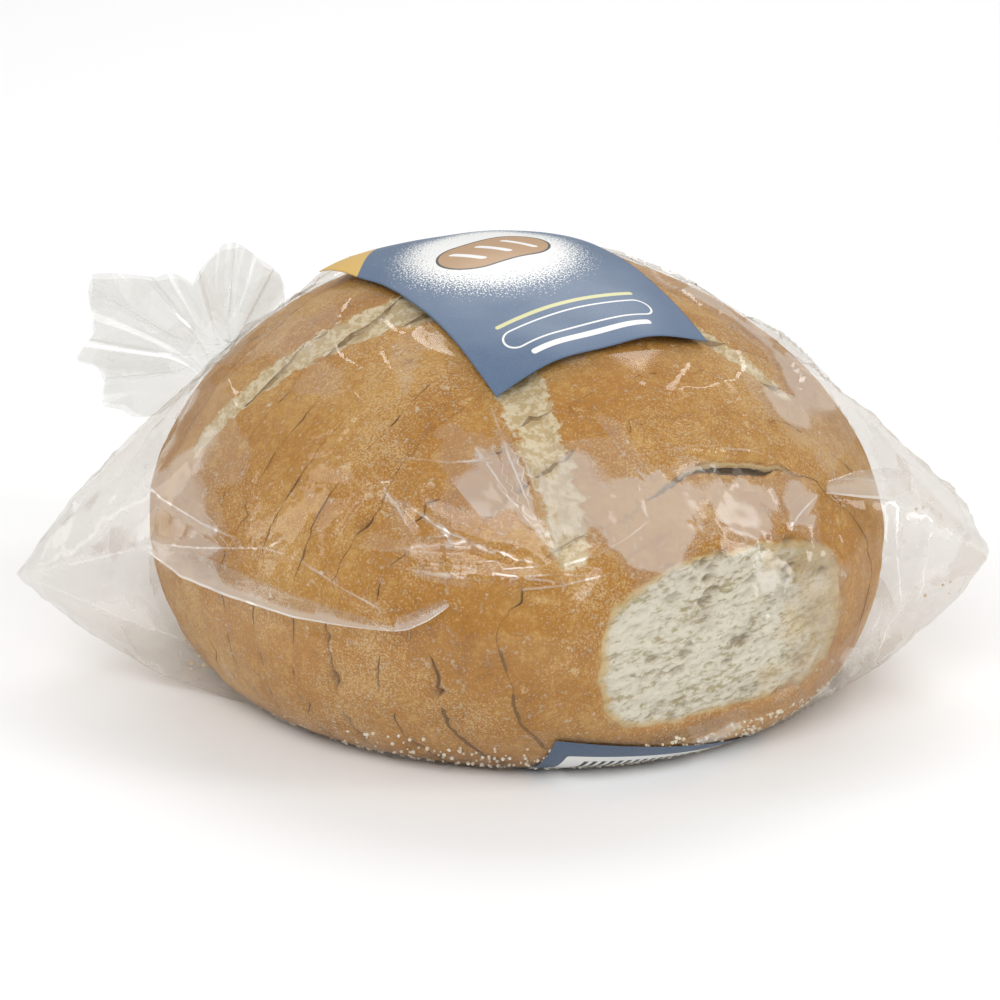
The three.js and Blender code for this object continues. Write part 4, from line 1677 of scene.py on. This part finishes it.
    def ridge(self, crease: Crease, points: np.ndarray) -> np.ndarray:
        """A tent along one crease: 1 on its line, 0 beyond its width and at its ends.

        Args:
            crease: The crease.
            points: Rows of x, y, z.

        Returns:
            A share for each point.
        """
        corners = np.array(crease.pixels, dtype=float)
        last = len(corners) - 1
        pixels = []
        for step in np.linspace(0, last, 6 * last + 1):
            index = int(step)
            run = corners[min(index + 1, last)] - corners[index]
            pixels.append(tuple(corners[index] + run * (step - index)))
        line = self.view.on_bag(self.form, pixels)
        nearest = np.full(len(points), np.inf)
        share = np.zeros(len(points))
        side = np.ones(len(points))
        for index in range(len(line) - 1):
            start, run = line[index], line[index + 1] - line[index]
            t = np.clip((points - start) @ run / max(run @ run, 1e-12), 0.0, 1.0)
            foot = start + t[:, None] * run
            away = np.linalg.norm(points - foot, axis=1)
            closer = away < nearest
            nearest = np.where(closer, away, nearest)
            share = np.where(closer, (index + t) / (len(line) - 1), share)
            across = np.cross(run, start - self.form.centre)
            side = np.where(closer, np.sign((points - foot) @ across), side)
        taper = np.clip(np.sin(math.pi * share), 0.0, 1.0) ** 0.5
        better = nearest < np.abs(self.crease_away) * MM
        self.crease_away = np.where(better, side * nearest / MM, self.crease_away)
        close = taper * smoothstep(2.8 * MM, 1.8 * MM, nearest)
        self.crease_near = np.where(better, close, self.crease_near)
        return np.clip(1.0 - nearest / crease.width, 0.0, 1.0) ** 1.3 * taper

    def flap(self, name: str, low: list[tuple[float, float]], high: list[tuple[float, float]]) -> None:
        """A fold of doubled film between two lines seen at pixels, its lower edge sharp.

        Args:
            name: The piece's name.
            low: Pixels of the folded edge.
            high: Pixels of the edge that merges with the bag.
        """
        columns, rows = self.fold_grid
        deselect_all()
        bpy.ops.mesh.primitive_grid_add(x_subdivisions=columns, y_subdivisions=rows, size=2.0)
        sheet = bpy.context.object
        flat = read_points(sheet)
        along, up = (flat[:, 0] + 1) / 2, (flat[:, 1] + 1) / 2
        lines = []
        for pixels in (low, high):
            corners = np.array(pixels, dtype=float)
            spread = np.linspace(0, 1, len(corners))
            xs = np.interp(along, spread, corners[:, 0])
            ys = np.interp(along, spread, corners[:, 1])
            lines.append(np.stack([xs, ys], axis=-1))
        pixels = lines[0] + (lines[1] - lines[0]) * up[:, None]
        base = self.view.on_bag(self.form, [tuple(pixel) for pixel in pixels])
        outward = base - self.form.centre
        outward /= np.linalg.norm(outward, axis=1)[:, None]
        taper = np.sin(math.pi * np.clip(along, 0.0, 1.0)) ** 0.4
        rise = self.fold_rise + self.fold_more * np.sqrt(np.clip(1.0 - up, 0, 1)) * taper
        rise = rise + 0.3 * MM * grain(base, 5 * MM, 4.0)
        write_points(sheet, base + outward * rise[:, None])
        # The doubled film is milkier, with its painted reflection; the crease values paint a highlight
        # line along the folded edge.
        write_value(sheet, "lift", 0.55 + 0.3 * (1.0 - up) ** 2)
        write_value(sheet, "crease_away", up * 4.0 - 0.12)
        write_value(sheet, "crease_near", taper)
        smooth(sheet)
        settle(sheet, name, Node.BAG, self.finish)

    def tail(self) -> bpy.types.Object:
        """The gathered film past the tie: a flattened tube that fans out upwards and to the left.

        Returns:
            The finished mesh.
        """
        deselect_all()
        bpy.ops.mesh.primitive_cylinder_add(
            vertices=self.tail_corners, radius=1.0, depth=1.0, end_fill_type="NOTHING")
        tube = bpy.context.object
        cut_side(tube, self.tail_rows)
        points = read_points(tube)
        around = np.arctan2(points[:, 1], points[:, 0])
        out = points[:, 2] + 0.5
        placed, degrees, spread = self.tail_points(around, out)
        write_points(tube, placed)
        # Grey milkiness with a painted reflection over the whole tail, and crease values that paint
        # shade lines along its folds.
        write_value(tube, "lift", 0.42 + 0.4 * grain(placed, 11 * MM, 5.0))
        away = degrees[:, None] - np.array(self.tail_folds)
        away = away[np.arange(len(away)), np.abs(away).argmin(axis=1)]
        write_value(tube, "crease_away", np.radians(away) * spread / MM)
        write_value(tube, "crease_near", smoothstep(8 * MM, 16 * MM, spread))
        return tube

    def tail_points(self, around: np.ndarray,
                    out: np.ndarray) -> tuple[np.ndarray, np.ndarray, np.ndarray]:
        """The tail's surface.

        Args:
            around: Angle round the tube.
            out: 0 inside the tie, 1 at the rim.

        Returns:
            Places, angles of the fan in degrees, and distances from its root.
        """
        neck = np.array(self.form.neck.tip)
        outwards = self.form.neck_direction
        side = np.cross(outwards, (0.0, 0.0, 1.0))
        side /= np.linalg.norm(side)
        top = np.cross(side, outwards)
        stem_share = 0.16
        stem = np.clip(out / stem_share, 0.0, 1.0)
        gather = self.neck_radius * (1.0 - 0.1 * np.cos(around * 11))
        ring = neck + outwards * ((self.tail_start + self.stem_length * stem)[:, None])
        ring = ring + (side * np.cos(around)[:, None] + top * np.sin(around)[:, None]) * gather[:, None]
        root = neck + outwards * self.stem_end
        half = np.arccos(np.clip(np.cos(around), -1, 1)) / math.pi
        front = np.sin(around) < 0
        angles, reaches = self.tail_rim(root)
        degrees = angles[0] + (angles[-1] - angles[0]) * half
        reach = np.interp(degrees, angles, reaches) * (1.0 + 0.012 * np.sin(half * 60 + 2.0 * front))
        fan = np.clip((out - stem_share) / (1.0 - stem_share), 0.0, 1.0)
        pleat = self.pleat * fan * np.sin(half * 5 * 2 * math.pi + 0.25 * front)
        crumple = self.crumple * fan * np.sin(half * 19 + 3 * fan + 1.2 * front)
        open_by = (1.0 + 1.2 * fan) * MM * np.sin(math.pi * half) ** 0.5
        spread = 6 * MM * (1.0 - fan) + reach * fan
        angle = np.radians(degrees)
        rays = np.stack([np.cos(angle) * spread, np.zeros(len(fan)), np.sin(angle) * spread], axis=-1)
        depth = pleat + crumple + self.tail_lean * fan + np.where(front, -open_by, open_by)
        fan_points = root + rays + np.array([0.0, 1.0, 0.0]) * depth[:, None]
        blend = smoothstep(0.0, 0.3, fan)[:, None]
        return ring * (1.0 - blend) + fan_points * blend, degrees, spread

    def tail_rim(self, root: np.ndarray) -> tuple[np.ndarray, np.ndarray]:
        """Angles round the fan's root in rising order, and the rim's distance at each.

        Args:
            root: Where the fan starts.

        Returns:
            Degrees, and distances.
        """
        rays = np.array([self.view.ray(x, y) for x, y in self.tail_outline])
        depth = (root[1] + self.tail_lean - self.view.place[1]) / rays[:, 1]
        rim = self.view.place + depth[:, None] * rays - root
        angles = np.degrees(np.arctan2(rim[:, 2], rim[:, 0])) % 360
        order = np.argsort(angles)
        return angles[order], np.hypot(rim[:, 0], rim[:, 2])[order]

    def build(self) -> None:
        """Make the film, its tail and its folds."""
        film = self.film()
        face_outwards(film)
        smooth(film, math.radians(40))
        settle(film, "bag_film", Node.BAG, self.finish)
        tail = self.tail()
        smooth(tail)
        settle(tail, "bag_tail", Node.BAG, self.tail_finish)
        self.flap("bag_fold_left",
                  [(146, 544), (190, 575), (235, 593), (300, 614), (350, 623), (395, 629)],
                  [(150, 536), (200, 552), (250, 574), (300, 594), (350, 611), (395, 624)])
        self.flap("bag_fold_middle", [(395, 629), (412, 626), (430, 618), (450, 605)],
                  [(398, 616), (414, 610), (430, 604), (448, 598)])
        self.flap("bag_fold_right", [(822, 494), (850, 498), (880, 500), (905, 492)],
                  [(822, 482), (850, 472), (880, 468), (905, 472)])


# The labels


@dataclass
class TopLabel:
    """The paper label bent over the top of the bag."""

    loaf: LoafForm
    finish: bpy.types.Material
    back: float = -40 * MM
    front: float = 47.5 * MM
    left: float = -34 * MM
    right: float = 23 * MM
    narrowing: float = 3.5 * MM
    corner_lift: float = 2.2 * MM
    buckle: float = 0.9 * MM
    ripple: float = 0.25 * MM
    thickness: float = 0.25 * MM
    over_loaf: float = 1.5 * MM
    grid: tuple[int, int] = (150, 230)

    def build(self) -> None:
        """Make the label from a flat sheet."""
        deselect_all()
        columns, rows = self.grid
        bpy.ops.mesh.primitive_grid_add(x_subdivisions=columns, y_subdivisions=rows, size=2.0)
        sheet = bpy.context.object
        flat = read_points(sheet)
        along = self.front - (flat[:, 1] + 1) / 2 * (self.front - self.back)
        left = self.left + self.narrowing * (flat[:, 1] + 1) / 2
        across = left + (flat[:, 0] + 1) / 2 * (self.right - left)
        share = np.hypot(along / (self.loaf.length / 2), across / (self.loaf.width / 2))
        rise = (1.0 - share**self.loaf.power) ** (1.0 / self.loaf.power)
        top = self.loaf.widest + (self.loaf.height - self.loaf.widest) * rise
        points = self.loaf.place(along, across, top + self.over_loaf)
        front_edge = smoothstep(16 * MM, 0.0, self.front - along)
        buckle = self.buckle * front_edge * np.sin((across - self.left) / (9 * MM)) ** 2
        ripple = self.ripple * grain(points, 12 * MM, 5.0)
        corner = smoothstep(28 * MM, 0.0, along - self.back) * smoothstep(32 * MM, 0.0, across - left)
        points[:, 2] += buckle + ripple + 0.25 * MM + self.corner_lift * corner
        write_points(sheet, points)
        write_uv(sheet, np.stack([(across - self.left) / MM, (self.front - along) / MM], axis=-1))
        thicken(sheet, self.thickness)
        smooth(sheet)
        settle(sheet, "top_label_paper", Node.TOP_LABEL, self.finish)


def thicken(sheet: bpy.types.Object, thickness: float) -> None:
    """Give an open sheet its thickness, outwards from where it lies.

    Args:
        sheet: The sheet.
        thickness: In metres.
    """
    deselect_all()
    bpy.context.view_layer.objects.active = sheet
    sheet.select_set(True)
    solid = sheet.modifiers.new("thickness", "SOLIDIFY")
    solid.thickness = thickness
    solid.offset = 1.0
    bpy.ops.object.modifier_apply(modifier=solid.name)
    deselect_all()


@dataclass
class BaseLabel:
    """The paper label under the bag, bent up over its front edge."""

    loaf: LoafForm
    finish: bpy.types.Material
    end: float = 4 * MM
    left: float = -38 * MM
    right: float = 20 * MM
    climb: float = 12.5 * MM
    reach: float = 86 * MM
    side_share: float = 0.3
    off_loaf: float = 0.9 * MM
    side_print: float = 16.0
    under_print: float = 64.0
    grid: tuple[int, int] = (70, 150)

    def build(self) -> None:
        """Make the label from a flat sheet that follows the bag down and under."""
        deselect_all()
        columns, rows = self.grid
        bpy.ops.mesh.primitive_grid_add(x_subdivisions=columns, y_subdivisions=rows, size=2.0)
        sheet = bpy.context.object
        flat = read_points(sheet)
        across = self.left + (flat[:, 0] + 1) / 2 * (self.right - self.left)
        share = (flat[:, 1] + 1) / 2
        climb = self.climb * (1.0 - 0.85 * (across - self.left) / (self.right - self.left))
        height = climb * np.clip(1.0 - share / self.side_share, 0.0, 1.0) ** 1.6
        width = across / (self.loaf.width / 2)
        edge = np.sqrt(self.loaf.share(height) ** 2 - width**2) * self.loaf.length / 2
        under = np.clip((share - self.side_share) / (1.0 - self.side_share), 0.0, 1.0)
        along = np.minimum(edge, self.reach) * (1.0 - under) + self.end * under
        out = self.off_loaf * smoothstep(0.0, 4 * MM, height)
        points = self.loaf.place(along + out, across, height + 0.02 * MM)
        write_points(sheet, points)
        side_run = share / self.side_share * self.side_print
        run = np.where(under > 0, self.side_print + under * self.under_print, side_run)
        write_uv(sheet, np.stack([(across - self.left) / MM, run], axis=-1))
        smooth(sheet)
        settle(sheet, "base_label_paper", Node.BASE_LABEL, self.finish)


# Loose bits


@dataclass
class Scatter:
    """Cornmeal and crumbs that lie between the bread and the film."""

    loaf: LoafForm
    view: PhotoView
    bag: BagForm
    meal: bpy.types.Material
    crumbs: bpy.types.Material
    seed: int = 11
    meal_count: int = 900
    golden_turn: float = 2.39996
    crumb_spots: tuple[tuple[float, float], ...] = (
        (180, 650), (190, 660), (198, 672), (205, 655), (210, 540), (190, 535), (945, 495),
        (950, 580), (880, 655),
    )
    crumbs_at_spot: int = 6
    crumb_spread: float = 9 * MM

    def bits(self, places: np.ndarray, sizes: np.ndarray) -> bpy.types.Object:
        """Many small rough lumps as one mesh.

        Args:
            places: Rows of x, y, z.
            sizes: A radius for each.

        Returns:
            The finished mesh.
        """
        deselect_all()
        bpy.ops.mesh.primitive_ico_sphere_add(subdivisions=1, radius=1.0)
        blank = bpy.context.object
        shape = read_points(blank)
        pieces = []
        for index, (place, size) in enumerate(zip(places, sizes)):
            rough = 1.0 + 0.3 * np.sin(shape[:, [1, 2, 0]] * 9 + index)
            pieces.append((shape * rough) * size + place)
        faces = [tuple(face.vertices) for face in blank.data.polygons]
        count = len(shape)
        everything = []
        for index in range(len(pieces)):
            everything += [tuple(corner + count * index for corner in face) for face in faces]
        mesh = bpy.data.meshes.new("bits")
        mesh.from_pydata(np.concatenate(pieces).tolist(), [], everything)
        blank.data = mesh
        return blank

    def cornmeal(self) -> bpy.types.Object:
        """White grains along the lower edge of the crust.

        Returns:
            The finished mesh.
        """
        count = self.meal_count
        turn = np.arange(count) * self.golden_turn
        share = np.array([noise.random() for _ in range(count)])
        angle = np.radians(-150 + 150 * share**0.45) + 0.02 * np.sin(turn)
        up = (1.2 + 9.0 * np.array([noise.random() for _ in range(count)]) ** 2) * MM
        direction = np.stack([np.cos(angle), np.sin(angle), np.zeros(count)], axis=-1)
        local = self.loaf.measure(direction)
        start = np.stack([np.zeros(count), np.zeros(count), up], axis=-1)
        reach = self.loaf.reach(start, local)
        places = direction * (reach + 0.1 * MM)[:, None]
        places[:, 2] = up
        sizes = (0.22 + 0.3 * np.array([noise.random() for _ in range(count)])) * MM
        return self.bits(places, sizes)

    def loose_crumbs(self) -> bpy.types.Object:
        """Crumbs caught in the bag's corners.

        Returns:
            The finished mesh.
        """
        places, sizes = [], []
        for x, y in self.crumb_spots:
            middle = self.view.on_bag(self.bag, [(x, y)])[0]
            for _ in range(self.crumbs_at_spot):
                shift = np.array([noise.random() - 0.5 for _ in range(3)]) * self.crumb_spread
                inward = (self.bag.centre - middle) * 0.035
                place = middle + inward + shift * np.array([1.0, 0.3, 1.0])
                place[2] = max(place[2], 1.0 * MM)
                places.append(place)
                sizes.append((0.18 + 0.35 * noise.random() ** 2) * MM)
        return self.bits(np.array(places), np.array(sizes))

    def build(self) -> None:
        """Make the loose bits."""
        noise.seed_set(self.seed)
        for name, piece, finish in (("cornmeal", self.cornmeal(), self.meal),
                                    ("loose_crumbs", self.loose_crumbs(), self.crumbs)):
            smooth(piece, math.radians(60))
            settle(piece, name, Node.BAG, finish)


# Studio


@dataclass(frozen=True)
class Studio:
    """A pale floor, an even white surround and soft lights."""

    floor: Colour = (0.9, 0.9, 0.9)
    surround: float = 0.42

    def build(self) -> None:
        """Make the floor, the surround and the lights."""
        deselect_all()
        bpy.ops.mesh.primitive_plane_add(size=8.0)
        floor = bpy.context.object
        floor.name = "floor"
        n = Nodes("floor")
        shader = n.add("BsdfPrincipled", {"Base Color": (*self.floor, 1.0), "Roughness": 0.9})
        floor.data.materials.append(n.done(shader.outputs[0]))
        world = bpy.data.worlds.new("surround")
        world.use_nodes = True
        world.node_tree.nodes["Background"].inputs[0].default_value = (1, 1, 1, 1)
        world.node_tree.nodes["Background"].inputs[1].default_value = self.surround
        bpy.context.scene.world = world
        self.light("key", (-0.25, -0.95, 0.95), (1.0, 0.8), 9.5)
        self.light("right_strip", (1.0, -0.25, 0.5), (0.25, 0.9), 4.0)
        self.light("left_strip", (-1.0, -0.1, 0.5), (0.25, 0.9), 1.6)
        self.light("back", (0.1, 0.9, 1.1), (1.0, 0.7), 8.5)
        scene = bpy.context.scene
        scene.view_settings.view_transform = "Standard"

    def light(self, name: str, place: tuple[float, float, float], size: tuple[float, float],
              power: float) -> None:
        """A rectangular soft light that faces the loaf.

        Args:
            name: Its name.
            place: Where it stands.
            size: Width and height.
            power: Watts.
        """
        data = bpy.data.lights.new(name, "AREA")
        data.shape = "RECTANGLE"
        data.size, data.size_y = size
        data.energy = power
        lamp = bpy.data.objects.new(name, data)
        bpy.context.scene.collection.objects.link(lamp)
        lamp.location = place
        lamp.rotation_euler = (Vector((0, 0, 0.04)) - Vector(place)).to_track_quat("-Z", "Y").to_euler()


def dress_tie() -> None:
    """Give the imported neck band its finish."""
    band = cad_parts[Node.TIE.value]
    finish = PlainFinish("tie_plastic", (0.82, 0.82, 0.8), (0.7, 0.7, 0.68), 0.4, 300.0)
    band.data.materials.clear()
    band.data.materials.append(finish.make())


def main() -> None:
    """Build the whole scene."""
    logging.basicConfig(level=logging.INFO, format="%(message)s")
    loaf, view = LoafForm(), PhotoView()
    bag = BagForm(loaf)
    view.build()
    Studio().build()
    bread = Bread(loaf, BreadFinish().make())
    bread.build()
    film = FilmFinish("film")
    # The tail's grey milky colour is a painted reflection of darker surroundings.
    tail_film = FilmFinish("tail_film", haze_and_reflection_colour=(0.76, 0.77, 0.75), least=0.14, middle=0.26, most=0.42)
    Bag(bag, view, bread.tree(), film.make(), tail_film.make()).build()
    TopLabel(loaf, TopPrint("top_print").make()).build()
    BaseLabel(loaf, BasePrint("base_print").make()).build()
    meal = PlainFinish("cornmeal", (0.86, 0.83, 0.74), (0.74, 0.64, 0.44), 0.6)
    brown = PlainFinish("crumbs", (0.72, 0.6, 0.42), (0.5, 0.33, 0.16), 0.8)
    Scatter(loaf, view, bag, meal.make(), brown.make()).build()
    dress_tie()


if __name__ == "__main__":
    main()
